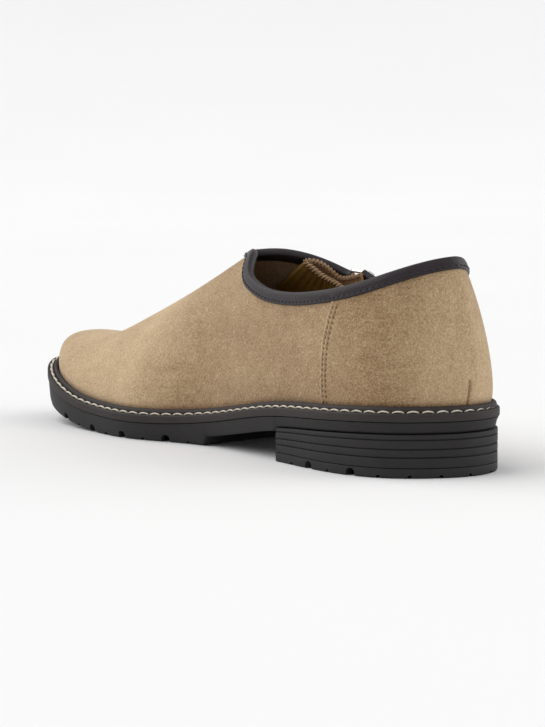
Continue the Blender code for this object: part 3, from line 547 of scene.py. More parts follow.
PALE_THREAD = thread_finish("pale_thread", linear(226, 216, 198))
DARK_THREAD = thread_finish("dark_thread", linear(26, 21, 20))
BROWN_THREAD = thread_finish("brown_thread", linear(128, 100, 74))
TAN_THREAD = thread_finish("tan_thread", linear(150, 118, 82))
METAL = Finish("bright_metal", Base_Color=(0.78, 0.76, 0.72), Metallic=1.0, Roughness=0.22).material


# %% [markdown]
# ## The upper
# The upper is cut from suede in a few panels and pulled down over the last. Its surface is
# the last plus a relief: the quarter overlaps the vamp as a lip at the side seam, thread
# pulls furrows behind that lip, a dart gathers the heel, and the leather is lightly creased.
# The relief is a height along the surface's normal, made of smooth steps and bells. One
# suede finish covers the shell inside and out.

# %% Steps, bells and crowded stations
def smooth(t):
    """Goes from 0 to 1 with level ends: 3 t^2 - 2 t^3."""
    t = np.clip(t, 0, 1)
    return t * t * (3 - 2 * t)


def bell(t):
    """A soft bump: exp(-t^2)."""
    return np.exp(-np.square(t))


def crowded(count, *bands):
    """Turns from 0 to 1, closer together within each band (low, high, extra)."""
    fine = np.linspace(0, 1, 20001)
    weight = np.ones_like(fine)
    for low, high, extra in bands:
        weight += extra * smooth((fine - low) / 0.008 + 1) * smooth((high - fine) / 0.008 + 1)
    run = np.concatenate([[0], np.cumsum((weight[1:] + weight[:-1]) / 2)])
    return np.interp(np.linspace(0, run[-1], count), run, fine)


# %% A place on the wall by station and height
def on_upper(side, x, z):
    """Surface point and normal at station x and height z, found by Newton steps."""
    x, z = np.broadcast_arrays(np.asarray(x, float), np.asarray(z, float))
    turn, share = np.full(x.shape, 0.4), np.full(x.shape, 0.5)
    small = 1e-5
    for _ in range(30):
        here = rib(side, turn, share)
        along = (rib(side, turn + small, share) - here) / small
        up = (rib(side, turn, share + small) - here) / small
        mx, mz = x - here[..., 0], z - here[..., 2]
        pivot = along[..., 0] * up[..., 2] - along[..., 2] * up[..., 0]
        turn = np.clip(turn + np.clip((mx * up[..., 2] - mz * up[..., 0]) / pivot, -0.05, 0.05), 0.01, 0.99)
        share = np.clip(share + np.clip((mz * along[..., 0] - mx * along[..., 2]) / pivot, -0.1, 0.1), 0, 1)
    return rib(side, turn, share), facing(side, turn, share)


# %% The side seam and the wall's grid
# station and height of the quarter's front edge
SEAM = np.array([
    (0.0595, 0.0200), (0.0600, 0.0289), (0.0602, 0.0403), (0.0597, 0.0483),
    (0.0590, 0.0557), (0.0578, 0.0614), (0.0561, 0.0688), (0.0545, 0.0750),
])
LIP_HEIGHT = 0.0008
NEEDLE_ROWS = (0.0020, 0.0042)
NEEDLE_FURROW = 0.00022
DART_SIDE = 0.0020
DART_DEPTH = 0.0009
TABLE_TURNS = np.linspace(0, 1, 4001)
CUTS = {side: cut_share(side, TABLE_TURNS) for side in (1, -1)}


def wall_share(side, turn, level):
    """Share of the rib at a level of the wall: 0 at the feather edge, 1 at the top edge."""
    cut = np.where(turn >= THROAT_TURN - 1e-9, 1.0, np.interp(turn, TABLE_TURNS, CUTS[side]))
    return cut * level


def behind_seam(point):
    """How far a point lies behind the quarter's front edge, along the shoe."""
    height = np.clip(point[..., 2], SEAM[0, 1], SEAM[-1, 1])
    return spline(SEAM[:, 1], SEAM[:, 0], height) - point[..., 0]


def seam_turn(side, level):
    """Turn at which the wall meets the seam, for each level."""
    def behind(turn):
        return behind_seam(rib(side, turn, wall_share(side, turn, level))) > 0

    return bisect(behind, np.full(level.shape, 0.15), np.full(level.shape, 0.40))


def wall_turns(side, base, level):
    """The base turns bent near the seam, so that a column of the grid runs along it:
    turn = base + (seam(level) - seam(0)) * window(base)."""
    seam = seam_turn(side, level)
    window = smooth(1 - abs(base - seam[0]) / 0.13)
    return base[:, None] + window[:, None] * (seam - seam[0])[None, :]


SEAM_TURN = float(seam_turn(1, np.zeros(1))[0])
UPPER_TURNS = crowded(
    430, (0.0, 0.03, 2.0), (SEAM_TURN - 0.016, SEAM_TURN + 0.004, 3.0), (THROAT_TURN - 0.07, THROAT_TURN, 1.2)
)
UPPER_TURNS[np.argmin(abs(UPPER_TURNS - THROAT_TURN))] = THROAT_TURN
print("seam at turn", round(SEAM_TURN, 4), "columns", len(UPPER_TURNS))


# %% Relief of the leather
# x, y, z of the middle of each soft dent or swelling, its three radii, and its height
DENTS = np.array([
    (0.1760, 0.0330, 0.0330, 0.0060, 0.0100, 0.0024, -0.0011),
    (0.0040, -0.0010, 0.0370, 0.0080, 0.0030, 0.0060, 0.0005),
    (0.0040, 0.0045, 0.0370, 0.0080, 0.0025, 0.0060, 0.0003),
])


def relief(side, point):
    """Height of the leather over the last: the quarter's lip and needle furrows, the dart
    at the heel, dents and swellings. Every term is a step or a bell of the place."""
    behind = behind_seam(point)
    high = smooth((point[..., 2] - 0.0300) / 0.004)
    lip = LIP_HEIGHT * smooth(behind / 0.0006 + 0.2)
    lip = lip + 0.0003 * bell((behind - 0.0010) / 0.0008)
    for row in NEEDLE_ROWS:
        lip = lip - NEEDLE_FURROW * bell((behind - row) / 0.00055)
    puff = 0.0003 * bell((behind - 0.0031) / 0.0009)
    height = lip + puff * high
    back = smooth((0.030 - point[..., 0]) / 0.010)
    dart_window = smooth((point[..., 2] - 0.0300) / 0.003) * smooth((0.0435 - point[..., 2]) / 0.002)
    dart = DART_DEPTH * bell((point[..., 1] - DART_SIDE) / 0.0007) * dart_window * back
    height = height - dart
    for row in DENTS:
        away = (point - row[:3]) / row[3:6]
        height = height + row[6] * np.exp(-(away**2).sum(axis=-1))
    return height


# %% Points of the wall
def wall(base, levels):
    """Points on the last and their normals for both sides, shape (2, turns, levels, 3);
    where the sides meet they share one normal."""
    points, normals = [], []
    for side in (1, -1):
        turn = wall_turns(side, base, levels)
        share = wall_share(side, turn, levels[None, :])
        points.append(rib(side, turn, share))
        normals.append(facing(side, turn, share))
    points, normals = np.stack(points), np.stack(normals)
    mean = normals.mean(axis=0)
    mean /= np.linalg.norm(mean, axis=-1, keepdims=True)
    meet = np.zeros(points.shape[1:3], bool)
    meet[0] = meet[-1] = True
    meet[base >= THROAT_TURN - 1e-9, -1] = True
    return points, np.where(meet[None, ..., None], mean[None], normals)


def upper_mesh():
    """A closed shell: the outer face with its relief, the inner face a wall's thickness
    inside it, and strips that close the feather edge and the top edge."""
    rows, deep_rows = 86, 15
    n = len(UPPER_TURNS)
    points, normals = wall(UPPER_TURNS, np.linspace(0, 1, rows))
    height = np.stack([relief(s, points[k]) for k, s in enumerate((1, -1))])[..., None]
    outer = points + normals * height
    outer[:, :, 0, 2] = points[:, :, 0, 2]
    deep, deep_normals = wall(UPPER_TURNS, np.linspace(0, 1, deep_rows))
    inner = deep - deep_normals * UPPER_WALL
    inner[:, :, 0, 2] = deep[:, :, 0, 2]
    blocks, faces, start = [], [], 0
    column = np.arange(n - 1)
    open_columns = column[UPPER_TURNS[1:] <= THROAT_TURN + 1e-9]
    for side in (0, 1):
        a, b = start, start + n * rows
        blocks += [outer[side].reshape(-1, 3), inner[side].reshape(-1, 3)]
        start = b + n * deep_rows
        faces += [quads(n, rows, start=a), quads(n, deep_rows, start=b)]
        for column_set, up, down in ((column, 0, 0), (open_columns, rows - 1, deep_rows - 1)):
            p, q = column_set * rows + up + a, (column_set + 1) * rows + up + a
            r, s = (column_set + 1) * deep_rows + down + b, column_set * deep_rows + down + b
            faces.append(np.stack([p, q, r, s], axis=1))
    return mesh_from("upper", np.concatenate(blocks), np.concatenate(faces), weld=3e-5)


# %% [markdown]
# ## Cutting
# Openings and notches are taken out of a closed mesh with a Boolean, and the result is
# kept as a plain mesh, so that no modifier is left on the piece.

# %% Boolean cut and the slit
def carve(mesh, cutter):
    """Takes one closed mesh away from another and returns what is left."""
    whole = bpy.data.objects.new("whole", mesh)
    knife = bpy.data.objects.new("knife", cutter)
    for obj in (whole, knife):
        bpy.context.scene.collection.objects.link(obj)
    step = whole.modifiers.new("cut", "BOOLEAN")
    step.operation = "DIFFERENCE"
    step.solver = "EXACT"
    step.object = knife
    bpy.context.view_layer.update()
    ready = whole.evaluated_get(bpy.context.evaluated_depsgraph_get())
    carved = bpy.data.meshes.new_from_object(ready)
    for obj in (whole, knife):
        bpy.data.objects.remove(obj, do_unlink=True)
    return carved


THROAT_HEIGHT = float(ridge(THROAT_AT)[2])
SLIT_TOP = np.array((0.721 * THROAT_AT, 0.985 * THROAT_HEIGHT))
SLIT_BOTTOM = np.array((0.807 * THROAT_AT, 0.570 * THROAT_HEIGHT))
SLIT_WIDTH = 0.0050


def slit_prism():
    """The slit's wedge, wide at the top edge, right through the outer side."""
    along = (SLIT_BOTTOM - SLIT_TOP) / np.linalg.norm(SLIT_BOTTOM - SLIT_TOP)
    aside = np.array([along[1], -along[0]]) * SLIT_WIDTH / 2
    above = SLIT_TOP - along * 0.012
    corners = [above + aside * 1.4, SLIT_BOTTOM + aside * 0.4, SLIT_BOTTOM - aside * 0.4, above - aside * 1.4]
    points = [(x, y, z) for y in (-0.016, -0.075) for x, z in corners]
    faces = [(0, 1, 2, 3), (7, 6, 5, 4), (0, 4, 5, 1), (1, 5, 6, 2), (2, 6, 7, 3), (3, 7, 4, 0)]
    return mesh_from("slit", points, faces)


upper = carve(upper_mesh(), slit_prism())


def painted_shade_of(point):
    """Painted shade in the suede's colour: darker over the middle of the shoe, on the quarter,
    low down, just above the rim and in the dart; a painted highlight makes it paler along the quarter's lip."""
    waist = smooth(point[:, 0] / 0.03) * smooth((0.205 - point[:, 0]) / 0.05)
    quarter = smooth(behind_seam(point) / 0.01) * smooth(point[:, 0] / 0.02)
    low = smooth((0.045 - point[:, 2]) / 0.025) * smooth((0.190 - point[:, 0]) / 0.08)
    contact = bell((point[:, 2] - seat_top(point[:, 0]) - 0.0026) / 0.0016)
    lip = bell((behind_seam(point) - 0.0005) / 0.0005)
    dart = bell((point[:, 1] - DART_SIDE) / 0.0005)
    dart = dart * smooth((0.0430 - point[:, 2]) / 0.002) * smooth((0.02 - point[:, 0]) / 0.01)
    return 0.46 * waist + 0.05 * quarter + 0.08 * low + 0.45 * contact + 0.55 * dart - 0.35 * lip


# Stores the painted shade and highlight on each vertex as the attribute "shade", which the suede finish
# reads.
def store_painted_shade(mesh):
    where = np.empty(len(mesh.vertices) * 3)
    mesh.vertices.foreach_get("co", where)
    shade = mesh.attributes.new("shade", "FLOAT", "POINT")
    shade.data.foreach_set("value", painted_shade_of(where.reshape(-1, 3) - SHIFT).astype(np.float32))


# The upper's suede gets painted shade and highlight by place.
store_painted_shade(upper)
piece("upper_suede", upper, SUEDE, "upper", slot="suede", sharp=50)

# %% [markdown]
# ## Edge binding
# A strip of thin dark leather is folded over the top edge and sewn through. Its section is
# swept along the edge: a rolled top, two flat legs, and a furrow where the thread pulls in.

# %% The top edge and the binding's section
def touch(side, target, turn, share):
    """The surface's point nearest to each target: repeated small steps in turn and share
    along the surface's own tangents, from a first guess."""
    turn, share = np.array(turn, float), np.array(share, float)
    small = 1e-5
    for _ in range(12):
        here = rib(side, turn, share)
        along = (rib(side, turn + small, share) - here) / small
        up = (rib(side, turn, share + small) - here) / small
        miss = target - here
        aa, au, uu = (along**2).sum(-1), (along * up).sum(-1), (up**2).sum(-1)
        ma, mu = (miss * along).sum(-1), (miss * up).sum(-1)
        pivot = aa * uu - au**2
        turn = np.clip(turn + np.clip((ma * uu - mu * au) / pivot, -0.02, 0.02), 0.0005, 0.9995)
        share = np.clip(share + np.clip((mu * aa - ma * au) / pivot, -0.05, 0.05), 0.0, 1.04)
    return rib(side, turn, share), facing(side, turn, share)


def top_edge(count):
    """Side, turn and share along the top edge, from the back round the inner side to the
    throat and back again, evenly spaced by length."""
    turn = crowded(2000, (THROAT_TURN - 0.09, THROAT_TURN, 8.0))
    turn = np.append(turn[turn < THROAT_TURN - 1e-6], THROAT_TURN)
    halves = []
    for side in (1, -1):
        share = cut_share(side, turn)
        run = lengths_along(rib(side, turn, share))
        even = np.interp(np.linspace(0, run[-1], count), run, turn)
        halves.append((np.full(count, side), even, cut_share(side, even)))
    inner, outer = halves
    return [np.concatenate([a, b[1:-1][::-1]]) for a, b in zip(inner, outer)]


def edge_frames(count, distances):
    """Points of the wall at distances down from the top edge, and their normals, for each
    place along the edge; also the direction down the wall."""
    side, turn, share = top_edge(count)
    is_inner = (side > 0)[:, None]
    points = np.where(is_inner, rib(1, turn, share), rib(-1, turn, share))
    normals = np.where(is_inner, facing(1, turn, share), facing(-1, turn, share))
    meet = int(np.argmax(turn))
    for k in (0, meet):
        mean = facing(1, turn[k], share[k]) + facing(-1, turn[k], share[k])
        normals[k] = mean / np.linalg.norm(mean)
    run = np.roll(points, -1, axis=0) - np.roll(points, 1, axis=0)
    run /= np.linalg.norm(run, axis=1)[:, None]
    down = np.cross(normals, run)
    down /= np.linalg.norm(down, axis=1)[:, None]
    down *= -np.sign(down[:, 2] - down[:, 0])[:, None]
    places, faces_out = [], []
    for distance in distances:
        target = points + down * distance
        on_inner, n_inner = touch(1, target, turn, share)
        on_outer, n_outer = touch(-1, target, turn, share)
        place = np.where(is_inner, on_inner, on_outer)
        out = np.where(is_inner, n_inner, n_outer)
        for k in (0, meet):
            place[k] = (on_inner[k] + on_outer[k]) / 2
            out[k] = (n_inner[k] + n_outer[k]) / np.linalg.norm(n_inner[k] + n_outer[k])
        places.append(place)
        faces_out.append(out)
    return np.stack(places), np.stack(faces_out), down


def soften(rows, times=6):
    """Evens out a closed row of vectors by averaging neighbours."""
    for _ in range(times):
        rows = (np.roll(rows, 1, axis=-2) + 2 * rows + np.roll(rows, -1, axis=-2)) / 4
    return rows


def open_at_slit(rows, edge_points):
    """Rows of points along the closed top edge, turned into open rows that start on one
    side of the slit and end on the other."""
    depth = (SLIT_TOP[1] - edge_points[:, 2]) / (SLIT_TOP[1] - SLIT_BOTTOM[1])
    middle = SLIT_TOP[0] + depth * (SLIT_BOTTOM[0] - SLIT_TOP[0])
    inside = (edge_points[:, 1] < 0) & (abs(edge_points[:, 0] - middle) < SLIT_WIDTH * 0.7)
    first = int(np.flatnonzero(inside & ~np.roll(inside, 1))[0])
    order = np.roll(np.arange(len(inside)), -first)
    return rows[..., order[inside.sum() :], :]


def outwards(mesh):
    """Turns the faces of a closed mesh outwards and shades it smooth."""
    work = bmesh.new()
    work.from_mesh(mesh)
    bmesh.ops.recalc_face_normals(work, faces=work.faces)
    work.to_mesh(mesh)
    work.free()
    mesh.shade_smooth()
    return mesh


BINDING_STITCH = 0.0036
BINDING_PITCH = 0.0030
BINDING_CREST = 0.0011


def binding_mesh():
    distances = np.array([0.0, 0.0010, 0.0021, 0.0030, 0.0036, 0.0042, 0.0047, BINDING_WIDTH])
    places, out, down = edge_frames(340, distances)
    out, down = soften(out), soften(down, 50)
    behind = behind_seam(places[0])
    gap = 0.0004 + LIP_HEIGHT * smooth(behind / 0.004 + 0.5)[:, None]
    skin = np.array([0.75, 0.95, 0.95, 0.80, 0.62, 0.78, 0.72, 0.20]) * 0.0010
    far = [p + n * (gap + s) for p, n, s in zip(places, out, skin)]
    near = [p + n * gap * 0.4 for p, n in zip(places, out)]
    lining = UPPER_WALL + 0.0003
    deep = [p - n * lining for p, n in zip(places, out)]
    deepest = [p - n * (lining + s) for p, n, s in zip(places, out, skin)]
    middle, half = (far[0] + deepest[0]) / 2, (far[0] - deepest[0]) / 2
    crest = -down * BINDING_CREST
    arc = [middle + half * math.cos(a) + crest * math.sin(a) for a in np.linspace(0.25, 2.89, 11)]
    lid = -down * 0.0005
    section = far[::-1] + arc + deepest + [deep[-1], deep[3], deep[0] + lid, near[0] + lid, near[3], near[-1]]
    grid = open_at_slit(np.stack(section), places[0])
    count, size = grid.shape[:2]
    faces = quads(count, size, wrap=(True, False)).tolist()
    faces += [[i * size for i in range(count)], [i * size + size - 1 for i in range(count)][::-1]]
    mesh = bpy.data.meshes.new("binding")
    mesh.from_pydata((grid.reshape(-1, 3) + SHIFT).tolist(), [], faces)
    return outwards(mesh)


binding = binding_mesh()
piece("collar_binding_leather", binding, BINDING, "collar_binding", slot="binding_leather", sharp=60)

# %% [markdown]
# ## Rubber sole
# Band, layer, heel and lift are lofted from the same plan outline through levels, each an
# inset and a height, with rounded edges. Thin grooves run round the heel, and bullet-shaped
# notches are cut in the edge of the tread.

# %% Lofts on the sole's outline
BAND_OVERHANG = 0.0004
CLEARANCE = 0.0003


def stack(name, outline, levels, turns):
    """A closed solid with the outline's plan, lofted upwards through (inset, height)."""
    rings = []
    for inset, height in levels:
        level = outline.inset(inset)
        x = level.stations(turns)
        z = height(x)
        inner = np.stack([x, level.edge(1, x), z], axis=1)
        outer = np.stack([x, level.edge(-1, x), z], axis=1)
        rings.append(np.concatenate([inner, outer[::-1]]))
    count, size = len(rings), 2 * len(turns)
    rung = np.arange(len(turns) - 1)
    cap = np.stack([rung, rung + 1, size - rung - 2, size - rung - 1], axis=1)
    faces = np.concatenate([quads(count, size, wrap=(False, True)), cap, cap + (count - 1) * size])
    return mesh_from(name, np.concatenate(rings), faces)


def rounded(inset, height, radius, sense, steps=4):
    """Levels of a rounded edge: sense 1 for a bottom edge, from under it upwards, and -1
    for a top edge; inset grows by radius (1 - sin a) while the height goes by the arc."""
    angles = np.linspace(0, math.pi / 2, steps)
    levels = []
    for a in angles if sense > 0 else angles[::-1]:
        grow, rise = radius * (1 - math.sin(a)), radius * (1 - math.cos(a))
        levels.append((inset + grow, lambda x, r=rise: height(x) + sense * r))
    return levels


SOLE_TURNS = np.linspace(0, 1, 241)


def band_bottom(x):
    return seat_top(x) - BAND_THICKNESS


band = rounded(0.0, band_bottom, 0.0002, 1) + rounded(0.0, seat_top, 0.0008, -1, 5)
piece("midsole_band", stack("band", SOLE, band, SOLE_TURNS), RIM_RUBBER, "midsole", slot="rubber", sharp=60)


# %% The outsole
LAYER_STEP = HEEL_BREAST + 5 * CLEARANCE


def layer_bottom(x):
    """Thinner over the heel, whose block stands behind the step."""
    over_heel = np.asarray(x, float) < LAYER_STEP + CLEARANCE
    return band_bottom(x) - np.where(over_heel, HEEL_LAYER_THICKNESS, OUTSOLE_THICKNESS)


def tread_bottom(x):
    """The layer's underside, stepping down to the tread at TREAD_END."""
    x = np.asarray(x, float)
    rise = 0.0010 * np.clip((TREAD_END + 0.014 - x) / 0.014, 0, 1) ** 2
    return np.where(x < TREAD_END, layer_bottom(x), ground_line(x) + rise)


def bullets(path, sizes):
    """Notch cutters of (along, inwards, up) spaced evenly along a plan path with the
    outside on its left: prisms with a pointed arch for a top."""
    run = lengths_along(path)
    arch = np.array([(-0.5, -1.0), (-0.5, 0.55), (-0.38, 0.80), (-0.2, 0.94), (0, 1.0),
                     (0.2, 0.94), (0.38, 0.80), (0.5, 0.55), (0.5, -1.0)])
    blocks, faces, count = [], [], len(arch)
    for i, (along, inwards, up) in enumerate(sizes):
        distance = (i + 0.5) * run[-1] / len(sizes)
        spot = np.array([np.interp(distance, run, path[:, k]) for k in (0, 1)])
        ahead = np.array([np.interp(distance + 0.002, run, path[:, k]) for k in (0, 1)])
        direction = (ahead - spot) / np.linalg.norm(ahead - spot)
        inside = np.array([direction[1], -direction[0]])
        floor = float(ground_line(spot[0]))
        for reach in (-0.006, inwards):
            plan = spot + inside * reach + direction * arch[:, :1] * along
            blocks.append(np.column_stack([plan, floor + arch[:, 1] * up]))
        start = 2 * i * count
        faces.append(tuple(range(start, start + count)))
        faces.append(tuple(range(start + 2 * count - 1, start + count - 1, -1)))
        faces += [(start + k, start + (k + 1) % count, start + count + (k + 1) % count, start + count + k)
                  for k in range(count)]
    mesh = bpy.data.meshes.new("bullets")
    mesh.from_pydata((np.concatenate(blocks) + SHIFT).tolist(), [], faces)
    return outwards(mesh)


NOTCH_PITCH = 0.0133
WIDE_NOTCH = (0.0048, 0.0110, 0.0036)
NARROW_NOTCH = (0.0020, 0.0050, 0.0015)
outsole_turns = SOLE_TURNS
for step in (SOLE.turn_at(LAYER_STEP), SOLE.turn_at(TREAD_END)):
    spare = outsole_turns[abs(outsole_turns - step) > 0.003]
    outsole_turns = np.sort(np.concatenate([spare, [step - 0.0022, step + 0.0022]]))
layer = rounded(BAND_OVERHANG + 0.0012, tread_bottom, 0.0012, 1)
layer += [(BAND_OVERHANG + 0.0008, lambda x: tread_bottom(x) + 0.0030)]
layer += rounded(BAND_OVERHANG, lambda x: band_bottom(x) - CLEARANCE, 0.0002, -1)
tread_edge = SOLE.inset(BAND_OVERHANG + 0.0022).loop
fore = tread_edge[tread_edge[:, 0] > TREAD_END + 0.004]
count = round(lengths_along(fore)[-1] / NOTCH_PITCH)
outsole = carve(
    stack("outsole", SOLE, layer, outsole_turns),
    bullets(fore, [WIDE_NOTCH if i % 2 else NARROW_NOTCH for i in range(count)]),
)
piece("outsole_rubber", outsole, RUBBER, "outsole", slot="rubber", sharp=40)

# %% The heel and its lift
HEEL_GROOVES = (0.16, 0.44, 0.69)
GROOVE = 0.0005


def block_top(x):
    return layer_bottom(x) - CLEARANCE


def block_level(share):
    """Height between the block's top (0) and the lift (1)."""
    return lambda x: block_top(x) + share * (LIFT_THICKNESS - block_top(x))


heel_turns = np.linspace(0, 1, 90) * SOLE.turn_at(HEEL_BREAST)
edge = BAND_OVERHANG + 0.0004
levels = rounded(edge, lambda x: np.full_like(x, LIFT_THICKNESS), 0.0001, 1)
for share in reversed(HEEL_GROOVES):
    middle = block_level(share)
    levels += rounded(edge, lambda x, m=middle: m(x) - GROOVE / 2, 0.0003, -1)
    levels += [(edge + 0.0008, lambda x, m=middle, s=s: m(x) + s * GROOVE / 3) for s in (-1, 1)]
    levels += rounded(edge, lambda x, m=middle: m(x) + GROOVE / 2, 0.0003, 1)
levels += rounded(edge, block_top, 0.0004, -1)
piece("heel_rubber", stack("heel", SOLE, levels, heel_turns), RUBBER, "heel_block", slot="rubber", sharp=60)

lift = rounded(edge, lambda x: np.zeros_like(x), 0.0010, 1)
lift += rounded(edge, lambda x: np.full_like(x, LIFT_THICKNESS - CLEARANCE), 0.0001, -1)
lift_edge = SOLE.inset(edge + 0.0010).loop
rear = np.roll(lift_edge, len(lift_edge) // 2, axis=0)
rear = rear[rear[:, 0] < HEEL_BREAST - 0.006]
count = round(lengths_along(rear)[-1] / NOTCH_PITCH)
rear_sizes = [WIDE_NOTCH if min(i, count - 1 - i) in (1, 3) else NARROW_NOTCH for i in range(count)]
heel_lift = carve(stack("lift", SOLE, lift, heel_turns), bullets(rear, rear_sizes))
piece("heel_lift_rubber", heel_lift, RUBBER, "heel_lift", slot="rubber", sharp=40)


# %% The storm rim
def rim_loop():
    """Plan outline of the upper at the rim's height."""
    turn = np.linspace(0, 1, 161)
    sides = []
    for side in (1, -1):
        def under(share):
            point = rib(side, turn, share)
            return point[:, 2] < seat_top(point[:, 0]) + RIM_HEIGHT

        share = bisect(under, np.zeros_like(turn), np.full_like(turn, 0.4), 30)
        sides.append(rib(side, turn, share)[:, :2])
    return Outline.through(np.concatenate([sides[0], sides[1][1:-1][::-1]])[::2])


def ring(name, inside, outside, levels, turns):
    """A closed ring between two plan outlines; levels are (share of the way out, height)."""
    loops = []
    for share, height in levels:
        lines = []
        for side in (1, -1):
            near_x, far_x = inside.stations(turns), outside.stations(turns)
            x = near_x + share * (far_x - near_x)
            near, far = inside.edge(side, near_x), outside.edge(side, far_x)
            lines.append(np.stack([x, near + share * (far - near), height(x)], axis=1))
        loops.append(np.concatenate([lines[0], lines[1][1:-1][::-1]]))
    grid = np.stack(loops)
    return mesh_from(name, grid, quads(*grid.shape[:2], wrap=(True, True)))


def over_seat(rise):
    return lambda x: seat_top(x) + rise


RIM_FOOT = rim_loop()
behind_quarter = smooth((0.066 - RIM_FOOT.loop[:, 0]) / 0.008)
RIM_INSIDE = RIM_FOOT.inset(-(CLEARANCE + QUARTER_STEP * behind_quarter)[:, None])
rim_section = [
    (0.00, over_seat(CLEARANCE + 0.0004)), (0.20, over_seat(CLEARANCE)), (1.10, over_seat(CLEARANCE)),
    (1.12, over_seat(0.35 * RIM_HEIGHT)), (1.05, over_seat(0.60 * RIM_HEIGHT)),
    (0.90, over_seat(0.82 * RIM_HEIGHT)),
    (0.65, over_seat(0.96 * RIM_HEIGHT)), (0.40, over_seat(RIM_HEIGHT)), (0.15, over_seat(0.90 * RIM_HEIGHT)),
]
piece(
    "storm_rim", ring("rim", RIM_INSIDE, RIM_INSIDE.inset(-RIM_WIDTH), rim_section, SOLE_TURNS),
    RIM_RUBBER, "welt", slot="rubber", sharp=60,
)

# %% The insole
INSOLE_EDGE = FEATHER.inset(UPPER_WALL + 0.0012)
sock = [(0.0, over_seat(CLEARANCE))] + rounded(0.0, over_seat(CLEARANCE + 0.0030), 0.0010, -1)
piece(
    "insole_sock", stack("insole", INSOLE_EDGE, sock, np.linspace(0, 1, 121)), INSOLE,
    "insole", slot="insole_leather", sharp=60,
)


# %% [markdown]
# ## Thread
# A stitch is a short length of thread pulled down at both ends. Each is a small flattened
# spindle that follows its path, and all stitches of a row are one mesh.

# %% Rows of stitches
def stitches(path, out, pitch, length, width, height, sink=0.3, phase=0.0, closed=True, slant=0.0):
    """Spindles along a path. Along each, u runs -1 to 1: its radius is (1 - u^4)^(1/2), and
    it rises by 1 - u^2 over the path, less sink, in shares of height."""
    ring_path = np.concatenate([path, path[:1]]) if closed else path
    ring_out = np.concatenate([out, out[:1]]) if closed else out
    run = lengths_along(ring_path)
    number = max(1, round(run[-1] / pitch))
    middle = (np.arange(number) + 0.5 + phase) * run[-1] / number
    u, v = np.linspace(-1, 1, 11), np.linspace(0, 2 * np.pi, 9)[:-1]
    spot = np.mod(middle[:, None] + u * length / 2, run[-1]) if closed else middle[:, None] + u * length / 2
    centre = np.stack([np.interp(spot, run, ring_path[:, k]) for k in range(3)], axis=-1)
    normal = np.stack([np.interp(spot, run, ring_out[:, k]) for k in range(3)], axis=-1)
    normal /= np.linalg.norm(normal, axis=-1, keepdims=True)
    ahead = np.gradient(centre, axis=1)
    ahead /= np.linalg.norm(ahead, axis=-1, keepdims=True)
    aside = np.cross(normal, ahead)
    wide = np.sqrt(np.clip(1 - u**4, 0, 1)) * 0.94 + 0.06
    lift = height * (1 - u**2 - sink)
    centre = centre + normal * lift[None, :, None] + aside * (u * slant)[None, :, None]
    around = (
        aside[:, :, None] * (np.cos(v) * width / 2)[None, None, :, None]
        + normal[:, :, None] * (np.sin(v) * height / 2)[None, None, :, None]
    )
    points = centre[:, :, None] + around * wide[None, :, None, None]
    faces, size = [], len(u) * len(v)
    one = quads(len(u), len(v), wrap=(False, True))
    ends = [list(range(len(v)))[::-1], list(range(size - len(v), size))]
    starts = np.arange(number) * size
    grid = (one[None] + starts[:, None, None]).reshape(-1, 4).tolist()
    caps = [[c + int(s) for c in end] for s in starts for end in ends]
    return points.reshape(-1, 3), grid + caps


def thread_mesh(name, rows):
    """One mesh from several rows of stitches."""
    blocks, faces, start = [], [], 0
    for points, corners in rows:
        blocks.append(points)
        faces += [[c + start for c in corner] for corner in corners]
        start += len(points)
    mesh = bpy.data.meshes.new(name)
    mesh.from_pydata((np.concatenate(blocks) + SHIFT).tolist(), [], faces)
    return outwards(mesh)


welt_path = SOLE.inset(0.0020).loop
welt_path = np.column_stack([welt_path, seat_top(welt_path[:, 0]) + 0.0001])
upwards = np.tile((0.0, 0.0, 1.0), (len(welt_path), 1))
welt_rows = [stitches(
    welt_path, upwards, pitch=0.0065, length=0.0060, width=0.0013, height=0.0008, slant=0.0002,
)]
piece("sole_stitches", thread_mesh("sole_stitches", welt_rows), PALE_THREAD)

# The seam's two needle rows are short brown stitches in the quarter's furrows.
seam_rows = []
for row in NEEDLE_ROWS:
    height = np.linspace(0.0235, 0.0735, 120)
    x = spline(SEAM[:, 1], SEAM[:, 0], height) - row
    for side in (1, -1):
        place, out = on_upper(side, x, height)
        place = place + out * (relief(side, place) + 0.0001)[:, None]
        seam_rows.append(stitches(
            place, out, pitch=0.0024, length=0.0012, width=0.0006, height=0.0004, closed=False,
        ))
piece("seam_stitches", thread_mesh("seam_stitches", seam_rows), BROWN_THREAD)

places, out, _ = edge_frames(340, [BINDING_STITCH])
behind = behind_seam(places[0])
lift_off = 0.0004 + LIP_HEIGHT * smooth(behind / 0.004 + 0.5)[:, None] + 0.00062
line = open_at_slit((places[0] + out[0] * lift_off)[None], places[0])[0]
away = open_at_slit(out, places[0])[0]
binding_rows = [stitches(
    line, away, pitch=BINDING_PITCH, length=0.0020, width=0.0006, height=0.0005, closed=False,
)]
piece("binding_stitches", thread_mesh("binding_stitches", binding_rows), DARK_THREAD)


# %% [markdown]
# ## The closure on the outer side
# A slit lets the foot in. A gusset tongue folds behind it, and a strap crosses it to a
# buckle. The strap and the tongue are thin slabs on offsets of the wall.

# %% Places on the wall by station and height
STRAP_WIDTH = 0.0135
STRAP_THICKNESS = 0.0016
STRAP_DROP = 0.0135
# station, rise towards the throat, share of the full width
STRAP = np.array([
    (0.556, 0.125, 1.00), (0.608, 0.223, 1.00), (0.661, 0.332, 1.00), (0.714, 0.451, 1.00),
    (0.767, 0.549, 1.00), (0.820, 0.636, 1.00), (0.866, 0.712, 0.94), (0.890, 0.745, 0.66),
])
TONGUE_THICKNESS = 0.0016
